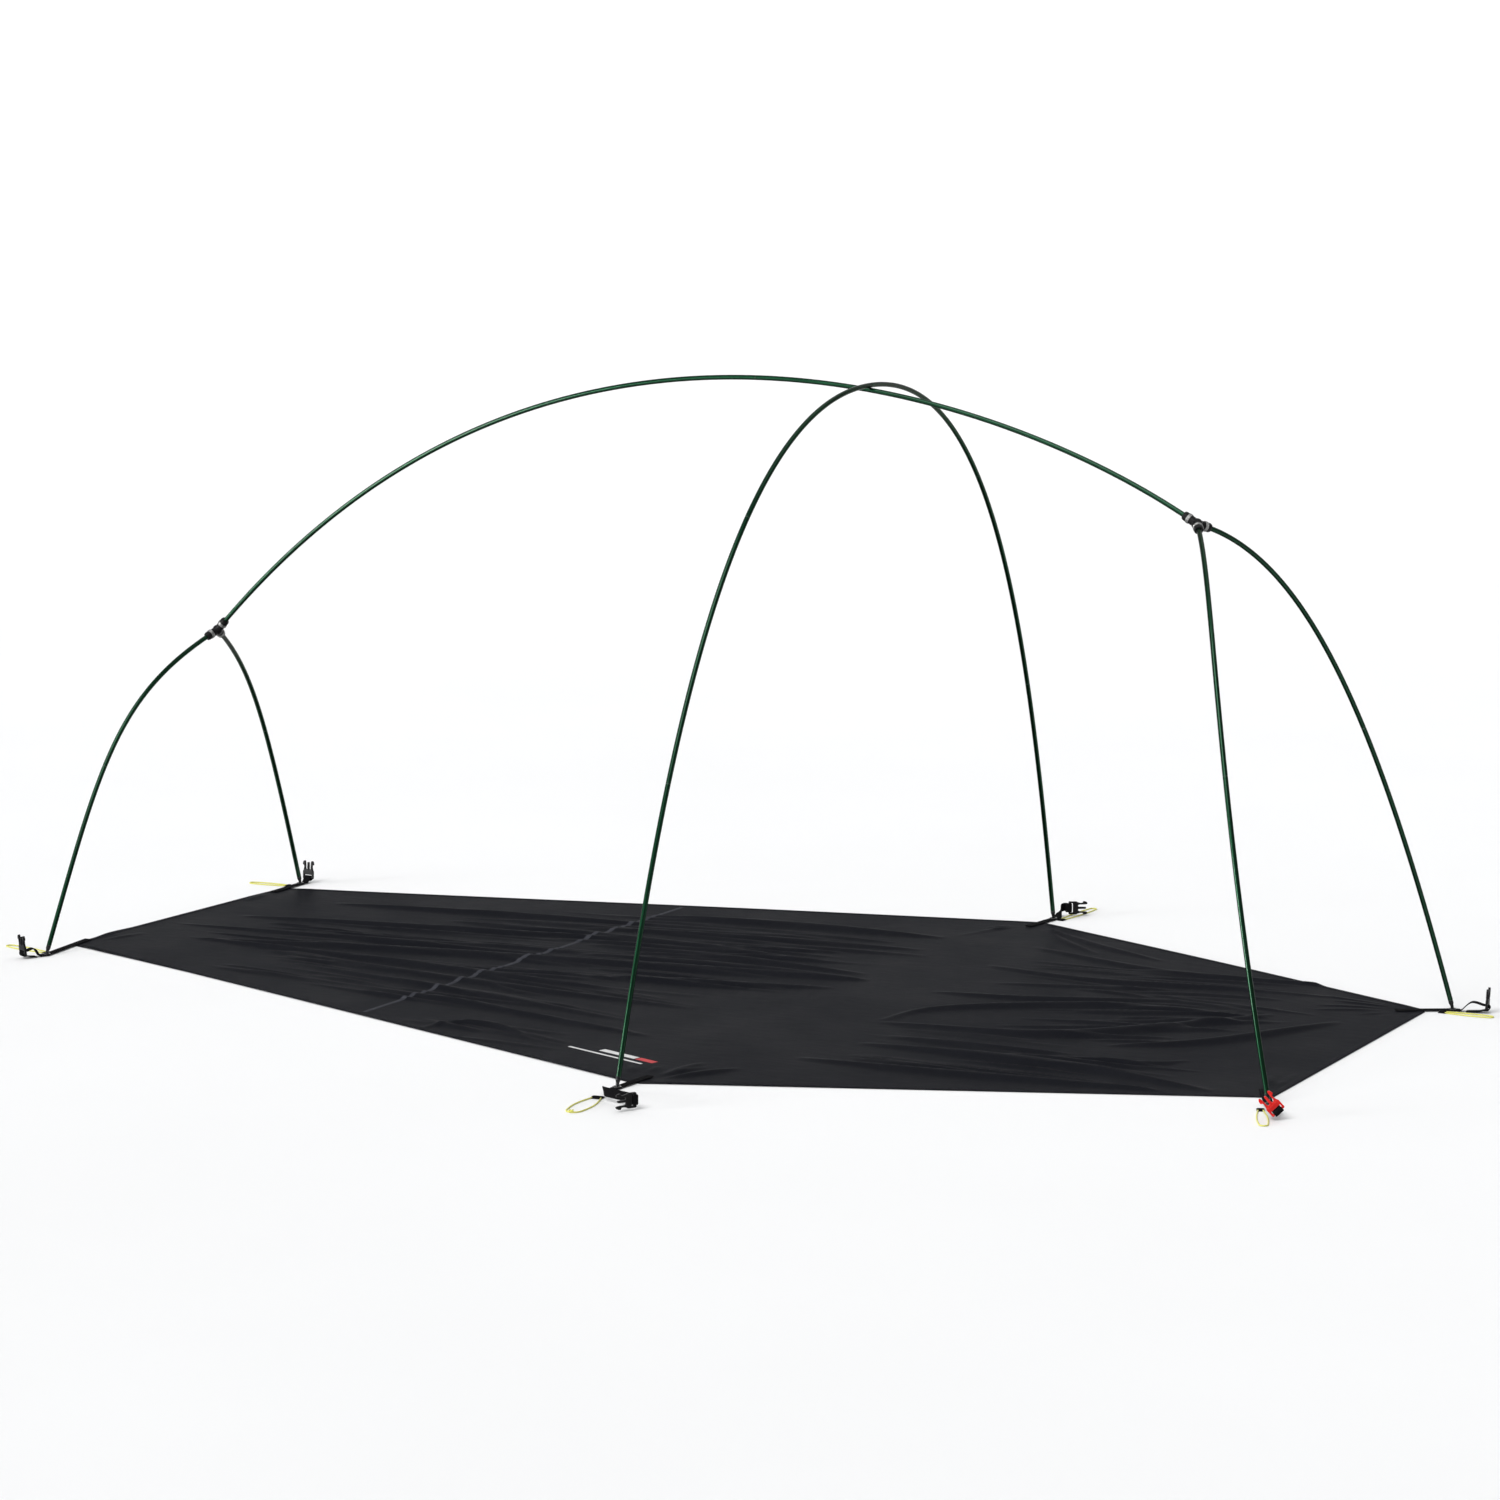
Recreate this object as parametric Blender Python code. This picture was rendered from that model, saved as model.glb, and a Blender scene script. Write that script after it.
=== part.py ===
"""Freestanding pole frame of a one-person tent, pitched on its groundsheet.

A ridge pole (the spine) ends in a three-way hub at each end, two legs leave each hub,
and a separate arch pole crosses over the spine. The six pole tips stand in grommets in
webbing straps at the corners of a six-sided groundsheet. Each strap carries half of a
side-release buckle and a pegging loop of thin cord.

Axes: +X along the tent towards the high hub, +Y to the back, +Z up. Metres.
The origin is on the underside of the groundsheet, on the line between the arch's feet.
"""

import math

import bmesh
import bpy
import numpy as np
from mathutils import Matrix, Vector
from mathutils.geometry import tessellate_polygon

# ---------------------------------------------------------------- driving dimensions
LOW_END_X = -1.332          # feet of the low hub's legs
HIGH_END_X = 0.872          # feet of the high hub's legs
LOW_END_HALF_WIDTH = 0.370
HIGH_END_HALF_WIDTH = 0.3705
ARCH_HALF_WIDTH = 0.737
LOW_HUB = (-1.237, 0.0, 0.513)
HIGH_HUB = (0.583, 0.0, 0.790)
SPINE_HANDLES = ((-0.562, 0.0, 1.2115), (0.2685, 0.0, 0.9755))
ARCH_CROWN_X = 0.026
ARCH_FOOT_HANDLE = (0.009, 0.616, 0.470)
ARCH_CROWN_HANDLE_Y = 0.4445
LOW_LEG_HANDLES = ((-1.307, 0.1955, 0.421), (-1.3085, 0.240, 0.312))
HIGH_LEG_HANDLES = ((0.6855, 0.171, 0.736), (0.753, 0.3135, 0.472))

# Where the straps leave the sheet's cut corners. Each strap is pulled in to its own length.
SHEET_CORNERS = {
    "low_front": (-1.345, -0.275),
    "low_back": (-1.330, 0.325),
    "mid_back": (-0.004, 0.700),
    "high_back": (0.832, 0.346),
    "high_front": (0.848, -0.325),
    "mid_front": (0.002, -0.693),
}

POLE_R = 0.0039             # outside of the aluminium tube
POLE_WALL = 0.0007
GAP = 0.0003                # between pieces that touch
SPIGOT_LENGTH = 0.045       # how far a section's insert reaches into the next section
SPIGOT_WALL = 0.0007
SHOCK_CORD_R = 0.00115
SPINE_SECTIONS = 5
ARCH_SECTIONS = 6
LEG_SECTIONS = 2
POLE_SIDES = 8
POLE_STEP = 0.062           # length of one straight facet along a pole

HUB_BORE_START = 0.010      # from the hub's centre to the floor of a socket
HUB_SLEEVE_END = 0.025
HUB_SLEEVE_R = 0.0070
HUB_BODY_R = 0.0090
HUB_MOUTH = 0.030           # a pole is straight from its socket's floor to here
COLLAR_START = 0.0125
COLLAR_LENGTH = 0.0050
COLLAR_R = 0.0088

TIP_LENGTH = 0.017          # visible length of a pole tip
TIP_NOSE_LENGTH = 0.009
TIP_NOSE_R = 0.0023
TIP_END_HEIGHT = 0.0009     # centre of the nose's end above the ground
TIP_INSERT = 0.022

SHEET_THICKNESS = 0.0012
SHEET_CORNER_WIDTH = 0.020

STRAP_WIDTH = 0.0145
STRAP_THICKNESS = 0.0014
STRAP_HEIGHT = 0.0023       # middle of the strap where it lies flat
STRAP_ON_SHEET = 0.045
FLAT_REACH = 0.0095         # a strap stays flat this far from the middle of its grommet
STRAP_STEP = 0.0040
WRAP_R = 0.0041             # middle of the strap where it turns round a buckle's bar
GROMMET_HOLE_R = 0.0041
GROMMET_BARREL_R = 0.0048
GROMMET_FLANGE_R = 0.0068
GROMMET_SHEET = 0.0009      # thickness of its metal
GROMMET_SIDES = 10

BUCKLE_WIDTH = 0.0225
BUCKLE_LENGTH = 0.033
BUCKLE_THICKNESS = 0.0044
BUCKLE_BAR_R = 0.0016
CORD_R = 0.0011
CORD_STEP = 0.0050         # between the points of a cord

MIRROR_Y = np.array([1.0, -1.0, 1.0])
UP = np.array([0.0, 0.0, 1.0])


# ---------------------------------------------------------------- materials
def material(name, colour, roughness, metallic=0.0):
    made = bpy.data.materials.new(name)
    made.use_nodes = True
    shader = made.node_tree.nodes["Principled BSDF"]
    shader.inputs["Base Color"].default_value = (*colour, 1.0)
    shader.inputs["Roughness"].default_value = roughness
    shader.inputs["Metallic"].default_value = metallic
    made.diffuse_color = (*colour, 1.0)
    return made


def make_materials():
    return {
        "green_anodised": material("green_anodised", (0.030, 0.120, 0.060), 0.30, 0.9),
        "tip_metal": material("tip_metal", (0.020, 0.021, 0.022), 0.40, 0.6),
        "black_moulding": material("black_moulding", (0.018, 0.018, 0.019), 0.42),
        "red_moulding": material("red_moulding", (0.640, 0.025, 0.022), 0.35),
        "collar_grey": material("collar_grey", (0.480, 0.470, 0.460), 0.35, 0.8),
        "sheet_fabric": material("sheet_fabric", (0.020, 0.021, 0.025), 0.55),
        "strap_webbing": material("strap_webbing", (0.014, 0.014, 0.015), 0.80),
        "grommet_metal": material("grommet_metal", (0.060, 0.060, 0.062), 0.35, 0.9),
        "yellow_cord": material("yellow_cord", (0.830, 0.690, 0.090), 0.70),
        "elastic_cord": material("elastic_cord", (0.700, 0.700, 0.680), 0.80),
    }


# ---------------------------------------------------------------- curves and frames
def bezier(handles, count=241):
    """Points along one cubic Bezier curve."""
    a, b, c, d = (np.array(p, float) for p in handles)
    t = np.linspace(0.0, 1.0, count)[:, None]
    s = 1.0 - t
    return s**3 * a + 3 * s * s * t * b + 3 * s * t * t * c + t**3 * d


def smooth_through(points, per_span=12):
    """A Catmull-Rom curve through rows of numbers; it passes through every row."""
    rows = np.array(points, float)
    rows = np.vstack([2 * rows[0] - rows[1], rows, 2 * rows[-1] - rows[-2]])
    t = np.linspace(0.0, 1.0, per_span, endpoint=False)[:, None]
    spans = []
    for a, b, c, d in zip(rows, rows[1:], rows[2:], rows[3:]):
        slope = (c - a) * t + (2 * a - 5 * b + 4 * c - d) * t**2 + (3 * b - a - 3 * c + d) * t**3
        spans.append(b + 0.5 * slope)
    return np.vstack(spans + [rows[-2:-1]])


def unit(vector):
    return vector / np.linalg.norm(vector)


class Route:
    """A curve that knows its length, and a side direction that never twists along it."""

    def __init__(self, points, first_side):
        self.points = np.array(points, float)
        steps = np.linalg.norm(np.diff(self.points, axis=0), axis=1)
        self.at = np.concatenate([[0.0], np.cumsum(steps)])
        self.length = self.at[-1]
        self.along = np.gradient(self.points, self.at, axis=0)
        self.along /= np.linalg.norm(self.along, axis=1)[:, None]
        side = np.array(first_side, float)
        sides = []
        for direction in self.along:
            side = unit(side - direction * (side @ direction))
            sides.append(side)
        self.sides = np.array(sides)

    def _read(self, rows, at):
        return np.array([np.interp(at, self.at, rows[:, k]) for k in range(3)])

    def place(self, at):
        """Centre, direction and the two cross directions at a distance along the curve."""
        centre = self._read(self.points, at)
        along = unit(self._read(self.along, at))
        side = self._read(self.sides, at)
        side = unit(side - along * (side @ along))
        return centre, along, side, np.cross(along, side)

    def ring(self, at, radius, count=POLE_SIDES):
        centre, _, side, up = self.place(at)
        angles = (np.arange(count) + 0.5) * 2 * math.pi / count
        return [centre + radius * (math.cos(a) * side + math.sin(a) * up) for a in angles]


# ---------------------------------------------------------------- mesh builders
def add_object(name, vertices, faces, surface, parent=None, smooth=True):
    mesh = bpy.data.meshes.new(name)
    mesh.from_pydata([tuple(v) for v in vertices], [], faces)
    shape = bmesh.new()
    shape.from_mesh(mesh)
    bmesh.ops.recalc_face_normals(shape, faces=shape.faces)
    shape.to_mesh(mesh)
    shape.free()
    if smooth:
        mesh.shade_smooth()
        mesh.set_sharp_from_angle(angle=math.radians(35))
    made = bpy.data.objects.new(name, mesh)
    made.data.materials.append(surface)
    bpy.context.scene.collection.objects.link(made)
    if parent is not None:
        made.parent = parent
        made.matrix_parent_inverse = parent.matrix_world.inverted()
    return made


def ring_faces(ring_count, sides, closed):
    """Quads between successive rings; the last joins the first on a closed tube wall."""
    faces = []
    for i in range(ring_count if closed else ring_count - 1):
        j = (i + 1) % ring_count
        for k in range(sides):
            m = (k + 1) % sides
            faces.append((i * sides + k, i * sides + m, j * sides + m, j * sides + k))
    if not closed:
        faces.append(tuple(range(sides))[::-1])
        faces.append(tuple(range((ring_count - 1) * sides, ring_count * sides)))
    return faces


def from_rings(name, rings, surface, closed=False, parent=None):
    vertices = [point for ring in rings for point in ring]
    faces = ring_faces(len(rings), len(rings[0]), closed)
    return add_object(name, vertices, faces, surface, parent)


def turned(name, profile, centre, axis, surface, sides, closed=True, parent=None):
    """A shape turned about an axis from (radius, height) pairs."""
    axis = unit(np.array(axis, float))
    side = unit(np.cross(axis, (0.3, 1.0, 0.2)))
    other = np.cross(axis, side)
    rings = []
    for radius, height in profile:
        angles = (np.arange(sides) + 0.5) * 2 * math.pi / sides
        middle = np.array(centre) + axis * height
        rings.append([middle + radius * (math.cos(a) * side + math.sin(a) * other) for a in angles])
    return from_rings(name, rings, surface, closed, parent)


def plate(name, outline, holes, low, high, surface, parent=None):
    """A flat plate with straight walls from an outline and holes, in its own XY plane."""
    loops = [outline, *holes]
    flat = [Vector((x, y, 0.0)) for loop in loops for x, y in loop]
    triangles = tessellate_polygon([[Vector((x, y, 0.0)) for x, y in loop] for loop in loops])
    count = len(flat)
    vertices = [(p.x, p.y, low) for p in flat] + [(p.x, p.y, high) for p in flat]
    faces = [tuple(t) for t in triangles]
    faces += [tuple(i + count for i in t) for t in triangles]
    start = 0
    for loop in loops:
        for i in range(len(loop)):
            a = start + i
            b = start + (i + 1) % len(loop)
            faces.append((a, b, b + count, a + count))
        start += len(loop)
    return add_object(name, vertices, faces, surface, parent)


def empty(name, location, parent=None):
    made = bpy.data.objects.new(name, None)
    made.location = location
    made.empty_display_size = 0.05
    bpy.context.scene.collection.objects.link(made)
    if parent is not None:
        made.parent = parent
    bpy.context.view_layer.update()
    return made


def boolean(target, cutter, operation):
    step = target.modifiers.new(operation.lower(), "BOOLEAN")
    step.operation = operation
    step.solver = "EXACT"
    step.object = cutter
    cutter.hide_render = True
    cutter.display_type = "WIRE"


# ---------------------------------------------------------------- poles
def section_stations(start, end, extra=()):
    """Distances of a tube's rings: even steps, and a ring wherever two pieces share a facet."""
    count = max(1, round((end - start) / POLE_STEP))
    even = np.linspace(start, end, count + 1)
    shared = [s for s in extra if start < s < end]
    near = [s for s in even[1:-1] if all(abs(s - other) > POLE_STEP * 0.3 for other in shared)]
    return sorted([start, end, *near, *shared])


def pole_section(name, route, rings_at, with_insert, surface, parent):
    """One tube of a pole. Its insert reaches back into the section before it."""
    start, end = rings_at[0], rings_at[-1]
    bore = POLE_R - POLE_WALL
    insert_out = bore - GAP
    insert_in = insert_out - SPIGOT_WALL
    rings = [route.ring(s, POLE_R) for s in rings_at]
    rings += [route.ring(s, bore) for s in rings_at[:0:-1]]
    if with_insert:
        tip = start - SPIGOT_LENGTH
        rings.append(route.ring(start + POLE_WALL, bore))
        rings.append(route.ring(start + POLE_WALL, insert_in))
        rings.append(route.ring(tip, insert_in))
        rings.append(route.ring(tip, insert_out))
        rings.append(route.ring(start, insert_out))
    else:
        rings.append(route.ring(start, bore))
    return from_rings(name, rings, surface, closed=True, parent=parent)


def pole(prefix, route, start, end, count, surface, parent, shared=()):
    """The sections of one pole; returns the distances of all their rings."""
    cuts = np.linspace(start, end, count + 1)
    used = []
    for i in range(count):
        joint = [cuts[i + 1] - SPIGOT_LENGTH] if i < count - 1 else []
        stop = cuts[i + 1] - (GAP if i < count - 1 else 0.0)
        rings_at = section_stations(cuts[i], stop, [*joint, *shared])
        pole_section(f"{prefix}_section_{i + 1}", route, rings_at, i > 0, surface, parent)
        used += rings_at[:-1] if i < count - 1 else rings_at
    return used


def pole_tip(name, route, at, surface, parent):
    """A turned tip: an insert in the tube, a shoulder, and a nose that ends on the ground."""
    inside = POLE_R - POLE_WALL - GAP
    shoulder = at + TIP_LENGTH - TIP_NOSE_LENGTH
    end = at + TIP_LENGTH
    profile = (
        (at - TIP_INSERT, inside * 0.8),
        (at - TIP_INSERT + 0.002, inside),
        (at + GAP, inside),
        (at + GAP, POLE_R),
        (shoulder - 0.004, POLE_R),
        (shoulder, TIP_NOSE_R + 0.0004),
        (end - 0.0015, TIP_NOSE_R),
        (end, TIP_NOSE_R * 0.55),
    )
    rings = [route.ring(s, r) for s, r in profile]
    return from_rings(name, rings, surface, parent=parent)


def shock_cord(name, route, pole_rings, start, end, surface, parent):
    """The elastic that runs inside a pole, bent at the same places as its tubes."""
    inside = [s for s in pole_rings if start + 0.001 < s < end - 0.001]
    rings = [route.ring(s, SHOCK_CORD_R, 6) for s in [start, *inside, end]]
    return from_rings(name, rings, surface, parent=parent)


def tip_start(route):
    """Where a tip begins, so that its nose ends just above the ground."""
    heights = route.points[:, 2][::-1]
    end = np.interp(TIP_END_HEIGHT, heights, route.at[::-1])
    return end - TIP_LENGTH


def grommet_centre(route):
    """Where a pole's axis crosses the middle height of its grommet."""
    heights = route.points[:, 2][::-1]
    return route.place(np.interp(STRAP_HEIGHT, heights, route.at[::-1]))[0]


# ---------------------------------------------------------------- hubs
def hub(name, routes, surface, parent):
    """A moulded three-way hub: three sleeves that leave one body, each with a blind socket."""
    centre = routes[0].points[0]
    body = turned(
        name,
        [(HUB_BODY_R * math.sin(a), -HUB_BODY_R * math.cos(a)) for a in np.linspace(0.35, 2.79, 7)],
        centre, routes[0].place(0.0)[1], surface, 12, closed=False, parent=parent,
    )
    for i, route in enumerate(routes):
        ends = [(0.0, HUB_SLEEVE_R * 0.98), (HUB_SLEEVE_END - 0.002, HUB_SLEEVE_R)]
        ends.append((HUB_SLEEVE_END, HUB_SLEEVE_R - 0.0012))
        rings = [route.ring(s, r, 12) for s, r in ends]
        sleeve = from_rings(f"{name}_sleeve_{i}", rings, surface, parent=parent)
        boolean(body, sleeve, "UNION")
    for i, route in enumerate(routes):
        rings = [route.ring(s, POLE_R + GAP, POLE_SIDES) for s in (HUB_BORE_START, HUB_MOUTH)]
        socket = from_rings(f"{name}_socket_{i}", rings, surface, parent=parent)
        boolean(body, socket, "DIFFERENCE")
    return body


def collar(name, route, surface, parent):
    start = COLLAR_START
    end = COLLAR_START + COLLAR_LENGTH
    inner = HUB_SLEEVE_R + GAP * 2
    rings = [route.ring(start, inner, 12), route.ring(end, inner, 12)]
    rings += [route.ring(end, COLLAR_R, 12), route.ring(start, COLLAR_R, 12)]
    return from_rings(name, rings, surface, closed=True, parent=parent)


# ---------------------------------------------------------------- corner hardware
def strap(name, path, foot, surface):
    """Webbing swept along (point, side) pairs, with a hole for the grommet at the foot."""
    rows = smooth_through([np.concatenate(pair) for pair in path])
    steps = np.linalg.norm(np.diff(rows[:, :3], axis=0), axis=1)
    at = np.concatenate([[0.0], np.cumsum(steps)])
    count = math.ceil(at[-1] / STRAP_STEP)
    even = np.linspace(0.0, at[-1], count)
    rows = np.array([np.interp(even, at, rows[:, k]) for k in range(6)]).T
    along = np.gradient(rows[:, :3], axis=0)
    rings = []
    for point, side, direction in zip(rows[:, :3], rows[:, 3:], along):
        direction = unit(direction)
        side = unit(side - direction * (side @ direction)) * STRAP_WIDTH / 2
        thick = unit(np.cross(direction, side)) * STRAP_THICKNESS / 2
        rings.append([point - side - thick, point + side - thick, point + side + thick, point - side + thick])
    made = from_rings(name, rings, surface)
    hole_r = GROMMET_BARREL_R + 0.0004
    cutter = turned(
        f"{name}_hole", [(hole_r, -0.0015), (hole_r, 0.0015)], foot, UP, surface, GROMMET_SIDES,
        closed=False,
    )
    boolean(made, cutter, "DIFFERENCE")
    return made


def grommet(name, foot, surface):
    half = STRAP_THICKNESS / 2 + GAP
    outer = half + GROMMET_SHEET
    profile = (
        (GROMMET_HOLE_R, -outer), (GROMMET_FLANGE_R, -outer), (GROMMET_FLANGE_R, -half),
        (GROMMET_BARREL_R, -half), (GROMMET_BARREL_R, half), (GROMMET_FLANGE_R, half),
        (GROMMET_FLANGE_R, outer), (GROMMET_HOLE_R, outer),
    )
    return turned(name, profile, foot, UP, surface, GROMMET_SIDES)


def buckle_outline():
    """The right half of a male buckle half, from its bar to its prongs, and its mirror."""
    w = BUCKLE_WIDTH / 2
    bar = BUCKLE_BAR_R
    end = BUCKLE_LENGTH - bar
    root = 0.0150           # where the prongs leave the body
    right = [
        (w - 0.0012, -bar), (w, -bar + 0.0012), (w, root - 0.0028), (w - 0.0012, root - 0.0014),
        (w - 0.0024, root + 0.0050), (w - 0.0020, end - 0.0080), (w + 0.0004, end - 0.0072),
        (w - 0.0004, end - 0.0030), (w - 0.0028, end), (w - 0.0044, end - 0.0010),
        (w - 0.0048, end - 0.0060), (w - 0.0051, root + 0.0010), (0.0022, root),
        (0.0018, root + 0.0016), (0.0016, end - 0.0034), (0.0008, end - 0.0020),
    ]
    return right + [(-x, y) for x, y in reversed(right)]


def buckle(name, hinge, side, forward, surface):
    """A male side-release buckle half whose origin is on the bar that its strap turns round."""
    x = STRAP_WIDTH / 2 + 0.0010
    end = WRAP_R + STRAP_THICKNESS / 2 + 0.0012
    slot = [(-x, BUCKLE_BAR_R), (x, BUCKLE_BAR_R), (x, end), (-x, end)]
    half = BUCKLE_THICKNESS / 2
    made = plate(name, buckle_outline(), [slot], -half, half, surface)
    x = unit(np.array(side, float))
    y = unit(np.array(forward, float) - x * (np.array(forward, float) @ x))
    z = np.cross(x, y)
    turn = Matrix([[x[i], y[i], z[i]] for i in range(3)])
    made.matrix_world = Matrix.Translation(Vector(hinge)) @ turn.to_4x4()
    return made


def free_cord(name, route, surface):
    """A thin cord along a smooth curve through its hand-laid route."""
    dense = smooth_through(route, per_span=16)
    steps = np.linalg.norm(np.diff(dense, axis=0), axis=1)
    at = np.concatenate([[0.0], np.cumsum(steps)])
    count = int(at[-1] / CORD_STEP) + 1
    even = np.linspace(0.0, at[-1], count)
    points = np.array([np.interp(even, at, dense[:, k]) for k in range(3)]).T
    data = bpy.data.curves.new(name, "CURVE")
    data.dimensions = "3D"
    data.bevel_depth = CORD_R
    data.bevel_resolution = 2
    data.use_fill_caps = True
    spline = data.splines.new("POLY")
    spline.points.add(len(points) - 1)
    for target, point in zip(spline.points, points):
        target.co = (*point, 1.0)
    made = bpy.data.objects.new(name, data)
    data.materials.append(surface)
    bpy.context.scene.collection.objects.link(made)
    return made


# ---------------------------------------------------------------- where things lie
def make_routes():
    """The centre lines of all poles, each from its hub or crown to its foot."""
    spine = bezier((LOW_HUB, *SPINE_HANDLES, HIGH_HUB))
    crown_z = np.interp(ARCH_CROWN_X, spine[:, 0], spine[:, 2])
    slope = np.gradient(spine[:, 2], spine[:, 0])
    tilt = math.atan(abs(np.interp(ARCH_CROWN_X, spine[:, 0], slope)))
    crown_z += (2 * POLE_R + GAP) / math.cos(tilt)
    crown = (ARCH_CROWN_X, 0.0, crown_z)
    half_arch = bezier((
        (0.0, -ARCH_HALF_WIDTH, 0.0), np.array(ARCH_FOOT_HANDLE) * MIRROR_Y,
        (ARCH_CROWN_X, -ARCH_CROWN_HANDLE_Y, crown_z), crown,
    ))
    arch = np.vstack([half_arch, (half_arch * MIRROR_Y)[-2::-1]])
    low_leg = bezier((LOW_HUB, *LOW_LEG_HANDLES, (LOW_END_X, LOW_END_HALF_WIDTH, 0.0)))
    high_leg = bezier((HIGH_HUB, *HIGH_LEG_HANDLES, (HIGH_END_X, HIGH_END_HALF_WIDTH, 0.0)))
    routes = {
        "spine": Route(spine, (0.0, 1.0, 0.0)),
        "arch": Route(arch, (1.0, 0.0, 0.0)),
        "low_back": Route(low_leg, UP),
        "low_front": Route(low_leg * MIRROR_Y, UP),
        "high_back": Route(high_leg, UP),
        "high_front": Route(high_leg * MIRROR_Y, UP),
        "mid_back": Route(arch[len(arch) // 2:], (1.0, 0.0, 0.0)),
        "mid_front": Route(arch[:len(arch) // 2 + 1][::-1], (1.0, 0.0, 0.0)),
    }
    spine_back = spine[::-1]
    routes["spine_from_high_hub"] = Route(spine_back, (0.0, 1.0, 0.0))
    return routes


CORNERS = ("low_front", "low_back", "mid_back", "high_back", "high_front", "mid_front")


def corner_layout(feet):
    """For each corner: where its strap runs and how its buckle lies.

    Each strap starts on the sheet, lies flat through its grommet, and turns round the
    bar of its buckle. At the middle corners it twists on edge before the buckle.
    """
    layout = {}
    for corner in CORNERS:
        foot = feet[corner]
        cut = np.array((*SHEET_CORNERS[corner], STRAP_HEIGHT))
        inward = unit(cut - foot)
        reach = np.linalg.norm(cut - foot)
        side = np.cross(UP, inward)
        path = [(foot + inward * (reach + STRAP_ON_SHEET), side), (foot + inward * (reach + 0.010), side)]
        path.append((foot + inward * (FLAT_REACH + 0.004), side))
        path.append((foot + inward * FLAT_REACH, side))
        layout[corner] = {"foot": foot, "inward": inward, "path": path}

    def wrap(path, bar, out, normal, side, first=90):
        """Part of a turn round a buckle's bar, which ends on its -normal side."""
        for angle in (*range(first, 90, -40), 90, 45, 0, -45, -90):
            a = math.radians(angle)
            path.append((bar + WRAP_R * (math.cos(a) * out + math.sin(a) * normal), side))

    def standing_loop(corner, out, reach, rise, bar_height, lean, tail, tilt=0.0, first=90):
        """A loop of webbing that ends at an upright buckle; tail lists the way back."""
        foot = layout[corner]["foot"]
        path = layout[corner]["path"]
        out = unit(np.array((*out, 0.0)))
        level = -np.cross(UP, out)
        side = math.cos(tilt) * level + math.sin(tilt) * UP
        normal = np.cross(side, out)
        path.append((foot, unit(path[0][1] + level)))
        path.append((foot + out * FLAT_REACH, level))
        path.append((foot + out * (FLAT_REACH + 0.004), level))
        bar = foot + out * reach
        bar[2] = bar_height
        if rise > 0.0:
            point = foot + out * reach * 0.55
            point[2] = rise
            path.append((point, unit(level + side)))
            path.append((bar - out * 0.005 + normal * WRAP_R, side))
        wrap(path, bar, out, normal, side, first)
        path.append((bar - out * 0.005 - normal * WRAP_R, side))
        for share, height in tail:
            point = foot + out * reach * share
            point[2] = height
            path.append((point, side))
        forward = math.cos(lean) * normal + math.sin(lean) * out
        layout[corner].update(bar=bar, side=side, forward=forward)

    def edge_loop(corner, turns, out, fold=0.0):
        """Webbing that twists on edge, then turns round an upright bar; fold swings the buckle back."""
        foot = layout[corner]["foot"]
        path = layout[corner]["path"]
        inward = layout[corner]["inward"]
        out = unit(np.array((*out, 0.0)))
        path.append((foot, path[0][1]))
        path.append((foot - inward * FLAT_REACH, path[0][1]))
        path.append((foot - inward * (FLAT_REACH + 0.004), path[0][1]))
        for (dx, dy), height, upright in turns:
            point = foot + np.array((dx, dy, 0.0))
            point[2] = height
            along = unit((point - path[-1][0]) * np.array((1.0, 1.0, 0.0)))
            side = unit(np.cross(along, UP) * (1 - upright) + UP * upright)
            path.append((point, side))
        normal = np.cross(UP, out)
        bar = path[-1][0] + out * 0.011 - normal * WRAP_R
        wrap(path, bar, out, normal, UP)
        path.append((bar - out * 0.007 - normal * (WRAP_R - 0.0010), UP))
        forward = math.cos(fold) * out + math.sin(fold) * normal
        layout[corner].update(bar=bar, side=UP, forward=forward)

    standing_loop("low_front", (-0.45, -0.89), 0.042, 0.0150, 0.0085, 0.10, ((0.72, 0.0024), (0.46, 0.0010)))
    standing_loop("high_back", (0.98, 0.20), 0.054, 0.0160, 0.0085, 0.05, ((0.75, 0.0022), (0.40, 0.0010)))
    standing_loop("low_back", (0.05, 1.00), 0.0235, 0.0, 0.0090, 0.05, (), first=170)
    standing_loop("high_front", (0.52, -0.85), 0.088, 0.0120, 0.0135, -0.10, (), tilt=-0.75)
    edge_loop("mid_back", (((-0.004, 0.028), 0.0060, 0.35), ((-0.002, 0.042), 0.0150, 1.0)), (0.87, 0.49))
    edge_loop(
        "mid_front",
        (((0.008, -0.036), 0.0065, 0.35), ((0.024, -0.074), 0.0140, 0.95), ((0.081, -0.093), 0.0150, 1.0)),
        (0.95, -0.30), fold=-1.78,
    )
    return layout


PEG_LOOPS = {   # where each loop of cord leaves its strap, its far end, and half its width
    "low_front": ((-1.347, -0.352), (-1.440, -0.335), 0.009),
    "low_back": ((-1.3455, 0.346), (-1.420, 0.337), 0.008),
    "mid_back": ((0.0145, 0.743), (0.020, 0.862), 0.008),
    "high_back": ((0.866, 0.349), (0.945, 0.352), 0.008),
    "high_front": ((0.873, -0.404), (0.914, -0.489), 0.008),
    "mid_front": ((0.006, -0.803), (0.020, -0.897), 0.015),
}
LOOP_STEP = 0.005           # between the points along a loop's sides
LOOP_START_SHARE = 0.45     # a loop's half width where it starts, as a share of its widest
LOOP_SWELL = 2.53           # turn of the sine that swells its sides, widest at five eighths
LOOP_END_SHARE = 0.766      # its far end bends round this share of its half width


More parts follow.
